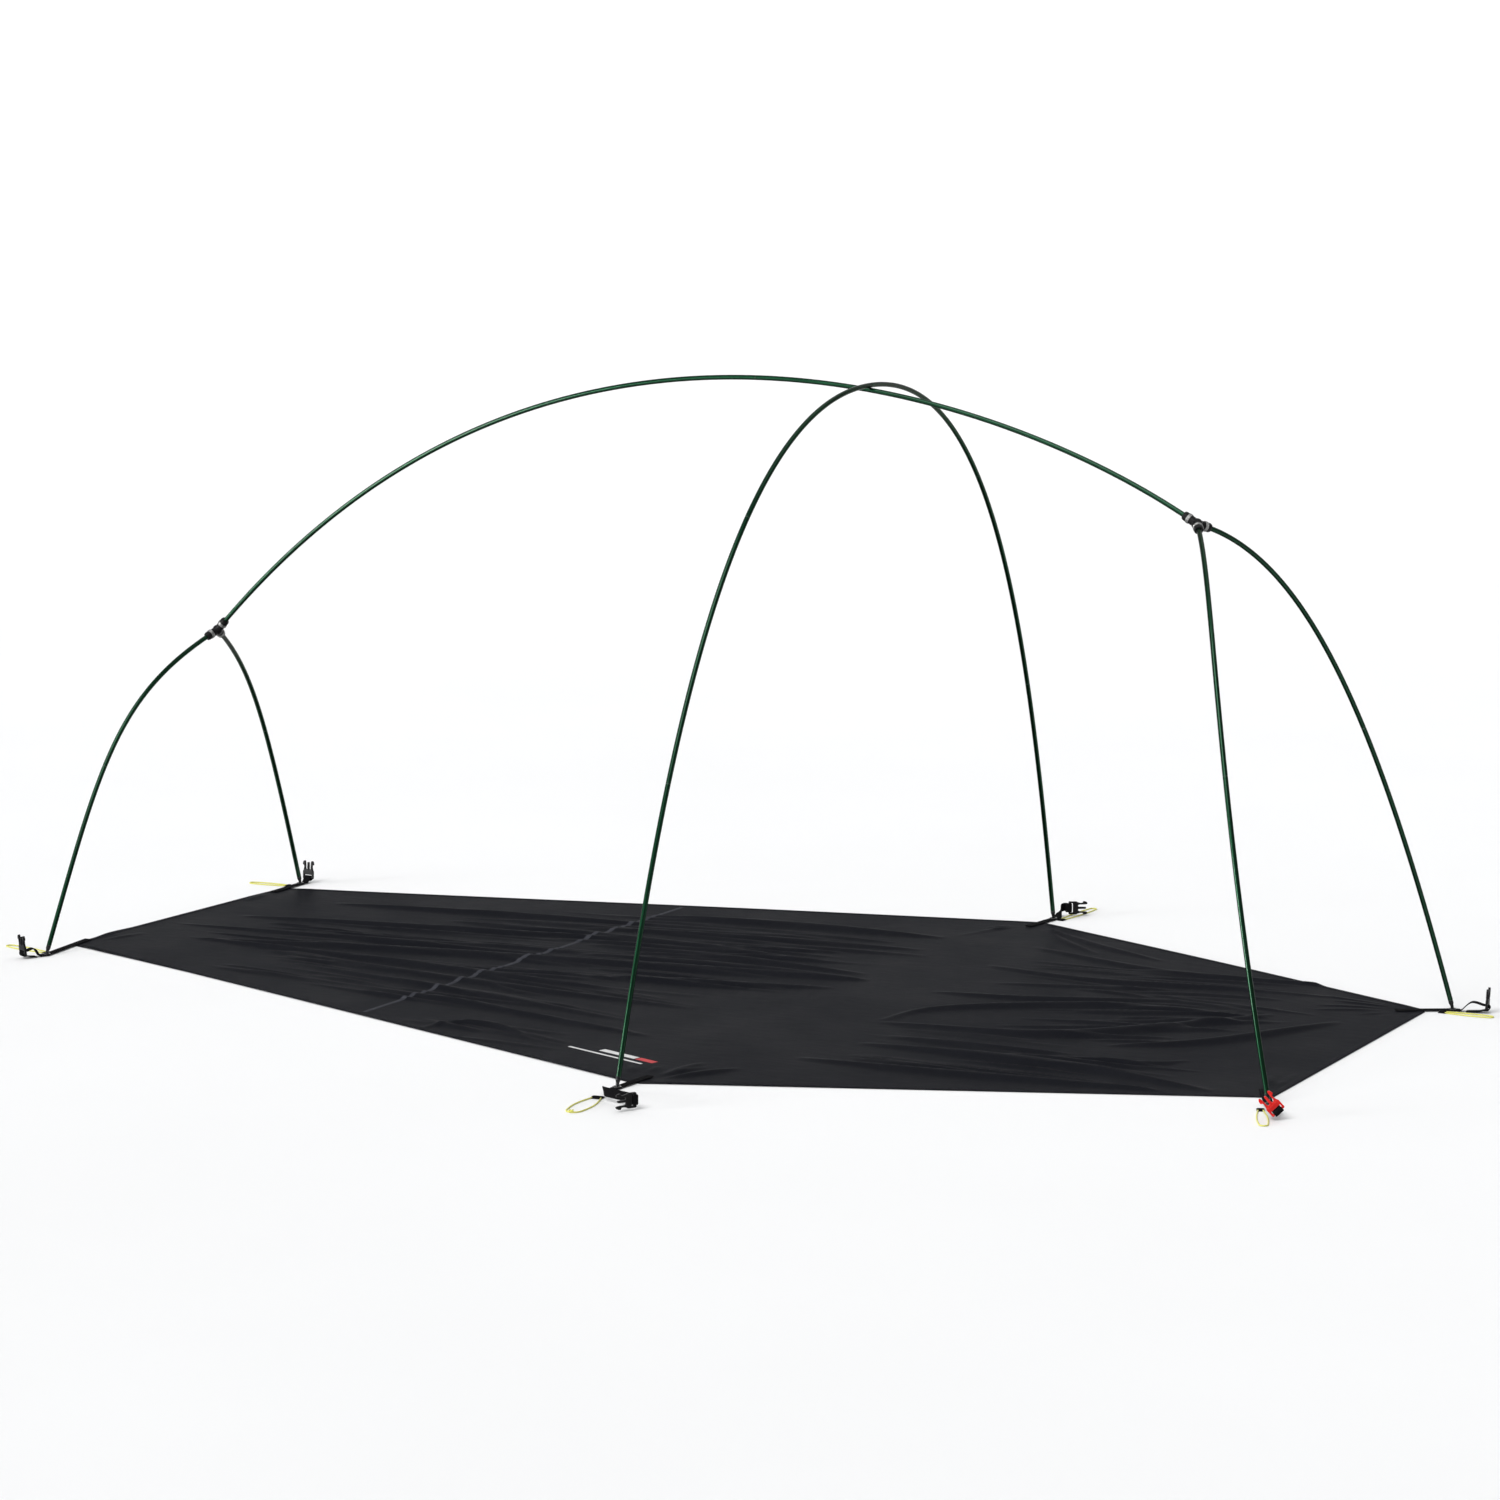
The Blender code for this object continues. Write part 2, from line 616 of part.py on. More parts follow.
def loop_route(start, tip, half_width):
    """A pegging loop on the ground, out to its far end and back to where it began."""
    height = CORD_R + 0.0001
    start = np.array((*start, height))
    run = np.array((*tip, height)) - start
    along = unit(run)
    side = np.cross(UP, along) * half_width
    bend = LOOP_END_SHARE * half_width
    reach = np.linalg.norm(run) - bend
    count = int(reach / LOOP_STEP)
    shares = np.arange(count) / count
    swell = LOOP_START_SHARE + (1.0 - LOOP_START_SHARE) * np.sin(LOOP_SWELL * shares)
    out = [start + along * reach * s + side * w for s, w in zip(shares, swell)]
    back = [start + along * reach * s - side * w for s, w in zip(shares, swell)]
    turns = [math.radians(a) for a in (76, 38, 0, -38, -76)]
    end = [start + along * (reach + bend * math.cos(a)) + side * LOOP_END_SHARE * math.sin(a) for a in turns]
    return [*out, *end, *reversed(back)]


def groundsheet(layout, surface):
    """A six-sided sheet whose corners are cut off square where the straps are sewn on."""
    outline = []
    for corner in CORNERS[::-1]:
        inward = layout[corner]["inward"]
        middle = np.array((*SHEET_CORNERS[corner], 0.0))
        side = np.cross(UP, inward) * SHEET_CORNER_WIDTH / 2
        outline.append(tuple((middle + side)[:2]))
        outline.append(tuple((middle - side)[:2]))
    return plate("groundsheet", outline, [], 0.0, SHEET_THICKNESS, surface)


# ---------------------------------------------------------------- assembly
def build():
    for old in list(bpy.data.objects):
        bpy.data.objects.remove(old, do_unlink=True)
    mats = make_materials()
    routes = make_routes()
    frame_axis = empty("pole_frame_lift", LOW_HUB)
    arch_axis = empty("arch_lift", (ARCH_CROWN_X, 0.0, 1.0), frame_axis)
    green = mats["green_anodised"]

    spine = routes["spine"]
    start = HUB_BORE_START + GAP
    end = spine.length - start
    mouths = (HUB_MOUTH, spine.length - HUB_MOUTH)
    rings_at = pole("spine", spine, start, end, SPINE_SECTIONS, green, frame_axis, mouths)
    shock_cord("spine_shock_cord", spine, rings_at, start, end, mats["elastic_cord"], frame_axis)
    for end in ("low", "high"):
        for side in ("front", "back"):
            route = routes[f"{end}_{side}"]
            name = f"{end}_leg_{side}"
            tip_at = tip_start(route)
            shared = (HUB_MOUTH, tip_at - TIP_INSERT)
            rings_at = pole(name, route, start, tip_at, LEG_SECTIONS, green, frame_axis, shared)
            pole_tip(f"{name}_tip", route, tip_at, mats["tip_metal"], frame_axis)
            stop = tip_at - TIP_INSERT - 0.001
            shock_cord(f"{name}_shock_cord", route, rings_at, start, stop, mats["elastic_cord"], frame_axis)
    for end, first in (("low", "spine"), ("high", "spine_from_high_hub")):
        into = [routes[first], routes[f"{end}_front"], routes[f"{end}_back"]]
        hub(f"{end}_hub", into, mats["black_moulding"], frame_axis)
        collar(f"{end}_hub_collar", into[0], mats["collar_grey"], frame_axis)

    arch = routes["arch"]
    start = routes["mid_front"].length - tip_start(routes["mid_front"])
    end = arch.length - start
    shared = (start + TIP_INSERT, end - TIP_INSERT)
    rings_at = pole("arch", arch, start, end, ARCH_SECTIONS, green, arch_axis, shared)
    for side in ("front", "back"):
        route = routes[f"mid_{side}"]
        pole_tip(f"arch_{side}_tip", route, tip_start(route), mats["tip_metal"], arch_axis)
    inset = start + TIP_INSERT + 0.001
    stop = arch.length - inset
    shock_cord("arch_shock_cord", arch, rings_at, inset, stop, mats["elastic_cord"], arch_axis)

    feet = {corner: grommet_centre(routes[corner]) for corner in CORNERS}
    layout = corner_layout(feet)
    groundsheet(layout, mats["sheet_fabric"])
    for corner in CORNERS:
        placed = layout[corner]
        colour = "red_moulding" if corner == "high_front" else "black_moulding"
        strap(f"{corner}_strap", placed["path"], placed["foot"], mats["strap_webbing"])
        grommet(f"{corner}_grommet", placed["foot"], mats["grommet_metal"])
        buckle(f"{corner}_buckle", placed["bar"], placed["side"], placed["forward"], mats[colour])
        free_cord(f"{corner}_peg_loop", loop_route(*PEG_LOOPS[corner]), mats["yellow_cord"])
    bpy.context.view_layer.update()


build()
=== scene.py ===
"""The looks of the tent pole frame on its groundsheet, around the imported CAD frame.

Axes as in the CAD: +X along the tent towards the high hub, +Y to the back, +Z up. Metres.
"""

import math

import bmesh
import bpy
import numpy as np
from mathutils import Matrix, Vector


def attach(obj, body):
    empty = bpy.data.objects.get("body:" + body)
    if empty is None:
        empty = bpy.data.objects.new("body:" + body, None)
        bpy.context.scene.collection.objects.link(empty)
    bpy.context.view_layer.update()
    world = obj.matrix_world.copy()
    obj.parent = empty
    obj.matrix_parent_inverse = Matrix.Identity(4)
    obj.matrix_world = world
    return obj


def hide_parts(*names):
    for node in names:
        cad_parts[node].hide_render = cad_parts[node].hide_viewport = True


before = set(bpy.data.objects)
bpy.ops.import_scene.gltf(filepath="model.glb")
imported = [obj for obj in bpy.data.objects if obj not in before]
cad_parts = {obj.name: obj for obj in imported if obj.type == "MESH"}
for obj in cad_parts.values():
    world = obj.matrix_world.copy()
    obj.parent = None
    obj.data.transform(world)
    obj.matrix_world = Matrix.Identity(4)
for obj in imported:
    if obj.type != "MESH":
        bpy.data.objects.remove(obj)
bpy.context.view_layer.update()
SCENE = bpy.context.scene

# ---------------------------------------------------------------- the frame's own curves
LOW_HUB = (-1.237, 0.0, 0.513)
HIGH_HUB = (0.583, 0.0, 0.790)
SPINE_HANDLES = ((-0.562, 0.0, 1.2115), (0.2685, 0.0, 0.9755))
ARCH_HALF_WIDTH = 0.737
ARCH_CROWN_X = 0.026
ARCH_FOOT_HANDLE = (0.009, 0.616, 0.470)
ARCH_CROWN_HANDLE_Y = 0.4445
LOW_LEG_HANDLES = ((-1.307, 0.1955, 0.421), (-1.3085, 0.240, 0.312))
HIGH_LEG_HANDLES = ((0.6855, 0.171, 0.736), (0.753, 0.3135, 0.472))
LOW_FOOT = (-1.332, 0.370, 0.0)
HIGH_FOOT = (0.872, 0.3705, 0.0)

POLE_R = 0.0039
GAP = 0.0003
HUB_BORE_START = 0.010
HUB_SLEEVE_END = 0.025
HUB_SLEEVE_R = 0.0070
HUB_BODY_R = 0.0090
COLLAR_START = 0.0125
COLLAR_END = 0.0175
COLLAR_R = 0.0080
TIP_LENGTH = 0.017
TIP_NOSE_LENGTH = 0.009
TIP_NOSE_R = 0.0023
TIP_END_HEIGHT = 0.0009

STRAP_WIDTH = 0.0145
STRAP_THICKNESS = 0.0014
STRAP_HEIGHT = 0.0023
STRAP_ON_SHEET = 0.045
FLAT_REACH = 0.0095
WRAP_R = 0.0041
BUCKLE_WIDTH = 0.0225
BUCKLE_LENGTH = 0.033
BUCKLE_THICKNESS = 0.0044
BUCKLE_BAR_R = 0.0016
CORD_R = 0.0011

MIRROR_Y = np.array([1.0, -1.0, 1.0])
UP = np.array([0.0, 0.0, 1.0])
CORNERS = ("low_front", "low_back", "mid_back", "high_back", "high_front", "mid_front")
SHEET_CORNERS = {
    "low_front": (-1.345, -0.275),
    "low_back": (-1.330, 0.325),
    "mid_back": (-0.004, 0.700),
    "high_back": (0.832, 0.346),
    "high_front": (0.848, -0.325),
    "mid_front": (0.002, -0.693),
}


def unit(vector):
    return vector / np.linalg.norm(vector)


def bezier(handles, count=481):
    """Points along one cubic Bezier curve."""
    a, b, c, d = (np.array(p, float) for p in handles)
    t = np.linspace(0.0, 1.0, count)[:, None]
    s = 1.0 - t
    return s**3 * a + 3 * s * s * t * b + 3 * s * t * t * c + t**3 * d


def smooth_through(points, per_span=12):
    """A Catmull-Rom curve through rows of numbers; it passes through every row."""
    rows = np.array(points, float)
    rows = np.vstack([2 * rows[0] - rows[1], rows, 2 * rows[-1] - rows[-2]])
    t = np.linspace(0.0, 1.0, per_span, endpoint=False)[:, None]
    spans = []
    for a, b, c, d in zip(rows, rows[1:], rows[2:], rows[3:]):
        slope = (c - a) * t + (2 * a - 5 * b + 4 * c - d) * t**2 + (3 * b - a - 3 * c + d) * t**3
        spans.append(b + 0.5 * slope)
    return np.vstack(spans + [rows[-2:-1]])


def even_rows(rows, step):
    """The same curve with a row every step, measured along its first three columns."""
    lengths = np.linalg.norm(np.diff(rows[:, :3], axis=0), axis=1)
    at = np.concatenate([[0.0], np.cumsum(lengths)])
    even = np.linspace(0.0, at[-1], max(3, math.ceil(at[-1] / step)))
    return np.array([np.interp(even, at, rows[:, k]) for k in range(rows.shape[1])]).T


class Route:
    """A curve that knows its length, and a side direction that never twists along it."""

    def __init__(self, points, first_side):
        self.points = np.array(points, float)
        steps = np.linalg.norm(np.diff(self.points, axis=0), axis=1)
        self.at = np.concatenate([[0.0], np.cumsum(steps)])
        self.length = self.at[-1]
        self.along = np.gradient(self.points, self.at, axis=0)
        self.along /= np.linalg.norm(self.along, axis=1)[:, None]
        side = np.array(first_side, float)
        sides = []
        for direction in self.along:
            side = unit(side - direction * (side @ direction))
            sides.append(side)
        self.sides = np.array(sides)

    def _read(self, rows, at):
        return np.array([np.interp(at, self.at, rows[:, k]) for k in range(3)])

    def place(self, at):
        centre = self._read(self.points, at)
        along = unit(self._read(self.along, at))
        side = self._read(self.sides, at)
        side = unit(side - along * (side @ along))
        return centre, along, side, np.cross(along, side)


def make_routes():
    spine = bezier((LOW_HUB, *SPINE_HANDLES, HIGH_HUB))
    crown_z = np.interp(ARCH_CROWN_X, spine[:, 0], spine[:, 2])
    slope = np.gradient(spine[:, 2], spine[:, 0])
    tilt = math.atan(abs(np.interp(ARCH_CROWN_X, spine[:, 0], slope)))
    crown_z += (2 * POLE_R + GAP) / math.cos(tilt)
    half_arch = bezier((
        (0.0, -ARCH_HALF_WIDTH, 0.0), np.array(ARCH_FOOT_HANDLE) * MIRROR_Y,
        (ARCH_CROWN_X, -ARCH_CROWN_HANDLE_Y, crown_z), (ARCH_CROWN_X, 0.0, crown_z),
    ))
    arch = np.vstack([half_arch, (half_arch * MIRROR_Y)[-2::-1]])
    low_leg = bezier((LOW_HUB, *LOW_LEG_HANDLES, LOW_FOOT))
    high_leg = bezier((HIGH_HUB, *HIGH_LEG_HANDLES, HIGH_FOOT))
    return {
        "spine": Route(spine, (0.0, 1.0, 0.0)),
        "spine_from_high_hub": Route(spine[::-1], (0.0, 1.0, 0.0)),
        "arch": Route(arch, (1.0, 0.0, 0.0)),
        "low_back": Route(low_leg, UP),
        "low_front": Route(low_leg * MIRROR_Y, UP),
        "high_back": Route(high_leg, UP),
        "high_front": Route(high_leg * MIRROR_Y, UP),
        "mid_back": Route(arch[len(arch) // 2:], (1.0, 0.0, 0.0)),
        "mid_front": Route(arch[:len(arch) // 2 + 1][::-1], (1.0, 0.0, 0.0)),
    }


def height_crossing(route, height):
    """Distance along a route, from its top, at which its axis comes down to a height."""
    return np.interp(height, route.points[:, 2][::-1], route.at[::-1])


ROUTES = make_routes()
FEET = {c: ROUTES[c].place(height_crossing(ROUTES[c], STRAP_HEIGHT))[0] for c in CORNERS}


# ---------------------------------------------------------------- camera
CAMERA_PLACE = (3.3473, -6.2963, 1.5195)
CAMERA_DOWN = 0.1558        # how far it looks down, in radians
CAMERA_ROUND = 0.512        # how far it stands round from the front, in radians


def make_camera():
    data = bpy.data.cameras.new("camera")
    data.lens = 109.27
    data.sensor_width = 36.0
    data.clip_start = 0.1
    data.clip_end = 100.0
    camera = bpy.data.objects.new("camera", data)
    camera.location = CAMERA_PLACE
    camera.rotation_euler = (math.pi / 2 - CAMERA_DOWN, 0.0, CAMERA_ROUND)
    SCENE.collection.objects.link(camera)
    SCENE.camera = camera


# ---------------------------------------------------------------- materials
class Surface:
    """A Principled material with short ways to add texture nodes to it."""

    def __init__(self, name):
        self.made = bpy.data.materials.new(name)
        self.made.use_nodes = True
        self.tree = self.made.node_tree
        self.shader = self.tree.nodes["Principled BSDF"]

    def set(self, **values):
        for name, value in values.items():
            self.shader.inputs[name.replace("_", " ")].default_value = value

    def node(self, kind, **settings):
        node = self.tree.nodes.new(kind)
        for name, value in settings.items():
            if hasattr(node, name):
                setattr(node, name, value)
            else:
                node.inputs[name.replace("_", " ")].default_value = value
        return node

    def join(self, out, into):
        self.tree.links.new(out, into)

    def _mapped(self, vector, scale=(1.0, 1.0, 1.0), turn=0.0):
        mapping = self.node("ShaderNodeMapping", Scale=scale, Rotation=(0.0, 0.0, turn))
        self.join(vector, mapping.inputs["Vector"])
        return mapping.outputs["Vector"]

    def position(self, scale=(1.0, 1.0, 1.0)):
        """Object coordinates, stretched by scale."""
        return self._mapped(self.node("ShaderNodeTexCoord").outputs["Object"], scale)

    def uv(self, scale=(1.0, 1.0, 1.0), turn=0.0):
        """The piece's own map: along it and across it, in metres."""
        return self._mapped(self.node("ShaderNodeUVMap", uv_map="map").outputs["UV"], scale, turn)

    def noise(self, vector, scale, detail=3.0, roughness=0.55):
        node = self.node("ShaderNodeTexNoise", Scale=scale, Detail=detail, Roughness=roughness)
        self.join(vector, node.inputs["Vector"])
        return node.outputs["Fac"]

    def wave(self, vector, scale, direction="X", profile="SIN"):
        node = self.node("ShaderNodeTexWave", Scale=scale, wave_profile=profile, bands_direction=direction)
        self.join(vector, node.inputs["Vector"])
        return node.outputs["Fac"]

    def attribute(self, name):
        return self.node("ShaderNodeAttribute", attribute_name=name).outputs["Fac"]

    def ramp(self, value, *stops):
        """A colour ramp from (place, colour) stops."""
        node = self.node("ShaderNodeValToRGB")
        elements = node.color_ramp.elements
        while len(elements) < len(stops):
            elements.new(0.5)
        for element, (place, colour) in zip(elements, stops):
            element.position = place
            element.color = (*colour, 1.0)
        self.join(value, node.inputs["Fac"])
        return node.outputs["Color"]

    def remap(self, value, low, high, start=0.0, end=1.0):
        node = self.node("ShaderNodeMapRange")
        node.inputs["From Min"].default_value = start
        node.inputs["From Max"].default_value = end
        node.inputs["To Min"].default_value = low
        node.inputs["To Max"].default_value = high
        self.join(value, node.inputs["Value"])
        return node.outputs["Result"]

    def math(self, operation, a, b):
        node = self.node("ShaderNodeMath", operation=operation)
        for value, socket in ((a, node.inputs[0]), (b, node.inputs[1])):
            if isinstance(value, float):
                socket.default_value = value
            else:
                self.join(value, socket)
        return node.outputs["Value"]

    def mix(self, share, a, b):
        node = self.node("ShaderNodeMix", data_type="RGBA")
        for value, socket in ((share, node.inputs[0]), (a, node.inputs[6]), (b, node.inputs[7])):
            if isinstance(value, float):
                socket.default_value = value
            elif isinstance(value, tuple):
                socket.default_value = (*value, 1.0)
            else:
                self.join(value, socket)
        return node.outputs[2]

    def bump(self, height, strength, distance):
        """One more layer of bump over those already there."""
        node = self.node("ShaderNodeBump", Strength=strength, Distance=distance)
        self.join(height, node.inputs["Height"])
        before = self.shader.inputs["Normal"]
        if before.links:
            self.join(before.links[0].from_socket, node.inputs["Normal"])
        self.join(node.outputs["Normal"], before)

    def colour(self, socket):
        self.join(socket, self.shader.inputs["Base Color"])

    def roughness(self, socket):
        self.join(socket, self.shader.inputs["Roughness"])


def anodised_green():
    """Dyed, drawn aluminium tube: fine lines along it, and bare metal where ends have rubbed."""
    s = Surface("green_anodised")
    s.set(Metallic=0.92, Specular_Tint=(0.16, 0.30, 0.22, 1.0))
    s.set(Coat_Weight=0.35, Coat_Roughness=0.13, Coat_IOR=1.45)
    lines = s.noise(s.uv((18.0, 1400.0, 1.0)), 1.0, 4.0, 0.6)
    patches = s.noise(s.uv((9.0, 60.0, 1.0)), 1.0, 3.0)
    dyed = s.ramp(patches, (0.30, (0.0018, 0.020, 0.0075)), (0.70, (0.004, 0.036, 0.0145)))
    dyed = s.mix(s.remap(lines, 0.0, 0.30, 0.35, 0.75), dyed, (0.013, 0.086, 0.037))
    rubbed = s.noise(s.uv((260.0, 900.0, 1.0)), 1.0, 4.0, 0.7)
    edge = s.attribute("wear")
    bare = s.math("MULTIPLY", edge, s.remap(rubbed, 0.0, 0.75, 0.42, 0.70))
    s.colour(s.mix(bare, dyed, (0.16, 0.21, 0.18)))
    s.roughness(s.remap(lines, 0.24, 0.40, 0.3, 0.8))
    s.bump(lines, 0.25, 0.00004)
    return s.made


def tip_metal():
    """Black anodised pole tip, rubbed bright round its nose."""
    s = Surface("tip_metal")
    s.set(Metallic=0.75)
    scuffs = s.noise(s.position((900.0, 900.0, 220.0)), 1.0, 4.0, 0.65)
    bare = s.math("MULTIPLY", s.attribute("wear"), s.remap(scuffs, 0.0, 0.8, 0.42, 0.72))
    s.colour(s.mix(bare, (0.008, 0.009, 0.010), (0.24, 0.24, 0.25)))
    s.roughness(s.remap(scuffs, 0.26, 0.50, 0.3, 0.8))
    s.bump(scuffs, 0.25, 0.00006)
    return s.made


def moulding(name, dark, light, rough_low, rough_high):
    """Injection-moulded nylon: a fine spark-eroded grain, paler where corners have scuffed."""
    s = Surface(name)
    s.set(Specular_IOR_Level=0.14)
    grain = s.noise(s.position(), 2600.0, 3.0, 0.7)
    flow = s.noise(s.position(), 130.0, 3.0, 0.5)
    scuff = s.noise(s.position(), 520.0, 5.0, 0.75)
    edge = s.node("ShaderNodeNewGeometry").outputs["Pointiness"]
    rim = s.remap(edge, 0.0, 1.0, 0.52, 0.60)
    worn = s.math("MULTIPLY", rim, s.remap(scuff, 0.0, 0.55, 0.42, 0.66))
    base = s.mix(flow, dark, tuple(1.35 * v for v in dark))
    s.colour(s.mix(worn, base, light))
    s.roughness(s.remap(grain, rough_low, rough_high, 0.35, 0.7))
    s.bump(grain, 0.30, 0.00005)
    return s.made


def collar_metal():
    """Satin aluminium band, turned, with fine rings round it."""
    s = Surface("collar_grey")
    s.set(Metallic=0.9)
    rings = s.noise(s.uv((5200.0, 40.0, 1.0)), 1.0, 3.0, 0.6)
    stain = s.noise(s.position(), 420.0, 4.0)
    s.colour(s.ramp(stain, (0.30, (0.20, 0.20, 0.20)), (0.70, (0.36, 0.36, 0.35))))
    s.roughness(s.remap(rings, 0.34, 0.52, 0.3, 0.7))
    s.bump(rings, 0.30, 0.00004)
    return s.made


def grommet_metal():
    """Blackened steel eyelet; the black has worn off its rolled rim."""
    s = Surface("grommet_metal")
    s.set(Metallic=0.9)
    wear = s.noise(s.position(), 900.0, 5.0, 0.7)
    bare = s.math("MULTIPLY", s.attribute("wear"), s.remap(wear, 0.0, 1.0, 0.42, 0.66))
    s.colour(s.mix(bare, (0.035, 0.036, 0.038), (0.42, 0.41, 0.40)))
    s.roughness(s.remap(wear, 0.28, 0.46, 0.3, 0.8))
    s.bump(wear, 0.20, 0.00004)
    return s.made


WEAVE_SCALE = 1000.0 / 2.2
RIPSTOP_SCALE = 62.0


def coated_fabric():
    """Near-black coated ripstop: a fine weave with a heavier thread every few millimetres."""
    s = Surface("sheet_fabric")
    s.set(Specular_IOR_Level=0.004)
    cloth = s.uv()
    weave = s.math("MULTIPLY", s.wave(cloth, WEAVE_SCALE, "X"), s.wave(cloth, WEAVE_SCALE, "Y"))
    heavy = [s.remap(s.wave(cloth, RIPSTOP_SCALE, way), 0.0, 1.0, 0.955, 0.995) for way in ("X", "Y")]
    grid = s.math("MAXIMUM", *heavy)
    cloud = s.noise(s.position(), 4.2, 5.0, 0.6)
    speck = s.noise(s.position(), 85.0, 4.0, 0.7)
    base = s.ramp(cloud, (0.30, (0.0066, 0.0070, 0.0092)), (0.72, (0.0100, 0.0105, 0.0132)))
    base = s.mix(s.remap(grid, 0.0, 0.30), base, (0.016, 0.017, 0.021))
    s.colour(s.mix(s.remap(speck, 0.0, 0.20, 0.55, 0.85), base, (0.016, 0.017, 0.020)))
    s.roughness(s.remap(cloud, 0.38, 0.50, 0.3, 0.7))
    s.bump(weave, 0.12, 0.00006)
    s.bump(grid, 0.25, 0.00008)
    crumple = s.noise(s.position((1.0, 2.6, 1.0)), 26.0, 5.0, 0.62)
    s.bump(crumple, 0.30, 0.0014)
    return s.made


def seam_tape():
    """The paler, smoother tape that seals the sheet's seam, with its two rows of stitches."""
    s = Surface("seam_tape")
    s.set(Specular_IOR_Level=0.002)
    haze = s.noise(s.position(), 60.0, 4.0, 0.6)
    s.colour(s.ramp(haze, (0.30, (0.034, 0.035, 0.042)), (0.75, (0.056, 0.058, 0.068))))
    s.roughness(s.remap(haze, 0.30, 0.44, 0.3, 0.7))
    s.bump(s.noise(s.position((1.0, 3.0, 1.0)), 240.0, 3.0), 0.3, 0.0003)
    return s.made


def webbing():
    """Flat black webbing: a herringbone of ribs, darker between them as painted shade, and lighter fuzz in
    flecks all over it.
    """
    s = Surface("strap_webbing")
    s.set(Sheen_Weight=0.01, Sheen_Roughness=0.5, Specular_IOR_Level=0.004)
    ribs = s.wave(s.uv(), 900.0, "X", "TRI")
    columns = s.wave(s.uv(), 620.0, "Y")
    weave = s.math("MULTIPLY", s.remap(ribs, 0.4, 1.0), s.remap(columns, 0.5, 1.0))
    fuzz = s.noise(s.position(), 1300.0, 4.0, 0.7)
    tone = s.noise(s.position(), 90.0, 3.0)
    # painted shade: the ramp darkens the weave where its ribs sink, in the grooves between them
    base = s.ramp(weave, (0.20, (0.002, 0.002, 0.0024)), (0.85, (0.010, 0.010, 0.011)))
    base = s.mix(s.remap(tone, 0.0, 0.35, 0.4, 0.8), base, (0.010, 0.010, 0.011))
    s.colour(s.mix(s.remap(fuzz, 0.0, 0.22, 0.5, 0.8), base, (0.022, 0.022, 0.023)))
    s.roughness(s.remap(fuzz, 0.72, 0.92, 0.3, 0.7))
    s.bump(weave, 0.7, 0.00016)
    s.bump(fuzz, 0.35, 0.00008)
    return s.made


def braided_cord(name, light, dark):
    """Braid of a thin cord: two sets of strands that cross, from the cord's own map. It is darker between
    the strands, which is painted shade in the braid's grooves.
    """
    s = Surface(name)
    s.set(Sheen_Weight=0.2, Sheen_Roughness=0.45, Specular_IOR_Level=0.35)
    one, two = (s.wave(s.uv(turn=turn), 380.0) for turn in (0.62, -0.62))
    braid = s.math("MAXIMUM", one, two)
    fuzz = s.noise(s.position(), 1500.0, 4.0, 0.7)
    # painted shade: the dark colour fills the grooves between the strands, and the light colour lies on
    # their crests
    base = s.ramp(braid, (0.45, dark), (0.80, light))
    s.colour(s.mix(s.remap(fuzz, 0.0, 0.35, 0.5, 0.85), base, tuple(min(1.0, 1.25 * v) for v in light)))
    s.roughness(s.remap(fuzz, 0.55, 0.80, 0.3, 0.7))
    s.bump(braid, 0.6, 0.00018)
    return s.made


def thread():
    """Twisted black sewing thread."""
    s = Surface("black_thread")
    s.set(Specular_IOR_Level=0.02)
    twist = s.noise(s.position(), 2200.0, 3.0, 0.7)
    s.colour(s.ramp(twist, (0.3, (0.012, 0.012, 0.0132)), (0.7, (0.020, 0.020, 0.022))))
    s.roughness(s.remap(twist, 0.5, 0.75, 0.3, 0.7))
    s.bump(twist, 0.5, 0.00006)
    return s.made


def printed_ink(name, low, high):
    """Screen-printed ink over the weave, worn thin in places."""
    s = Surface(name)
    weave = s.math("MULTIPLY", s.wave(s.uv(), 500.0), s.wave(s.uv(), 900.0, "Y"))
    tone = s.noise(s.position(), 120.0, 4.0)
    base = s.ramp(tone, (0.3, low), (0.7, high))
    s.colour(s.mix(s.remap(weave, 0.0, 0.3), base, tuple(0.6 * v for v in low)))
    s.roughness(s.remap(tone, 0.6, 0.8, 0.3, 0.7))
    s.bump(weave, 0.5, 0.0001)
    return s.made


def make_materials():
    return {
        "green": anodised_green(),
        "tip": tip_metal(),
        "black": moulding("black_moulding", (0.0045, 0.0045, 0.0050), (0.034, 0.034, 0.035), 0.34, 0.52),
        "red": moulding("red_moulding", (0.470, 0.012, 0.010), (0.78, 0.12, 0.09), 0.26, 0.40),
        "collar": collar_metal(),
        "grommet": grommet_metal(),
        "sheet": coated_fabric(),
        "tape": seam_tape(),
        "webbing": webbing(),
        # the second colour of each cord is a darker copy of its first: painted shade for the grooves of its
        # braid
        "yellow": braided_cord("yellow_cord", (0.74, 0.72, 0.17), (0.40, 0.38, 0.06)),
        "elastic": braided_cord("elastic_cord", (0.72, 0.72, 0.70), (0.40, 0.40, 0.38)),
        "thread": thread(),
        "print_white": printed_ink("print_white", (0.55, 0.55, 0.55), (0.72, 0.72, 0.71)),
        "print_red": printed_ink("print_red", (0.42, 0.015, 0.02), (0.58, 0.03, 0.035)),
    }


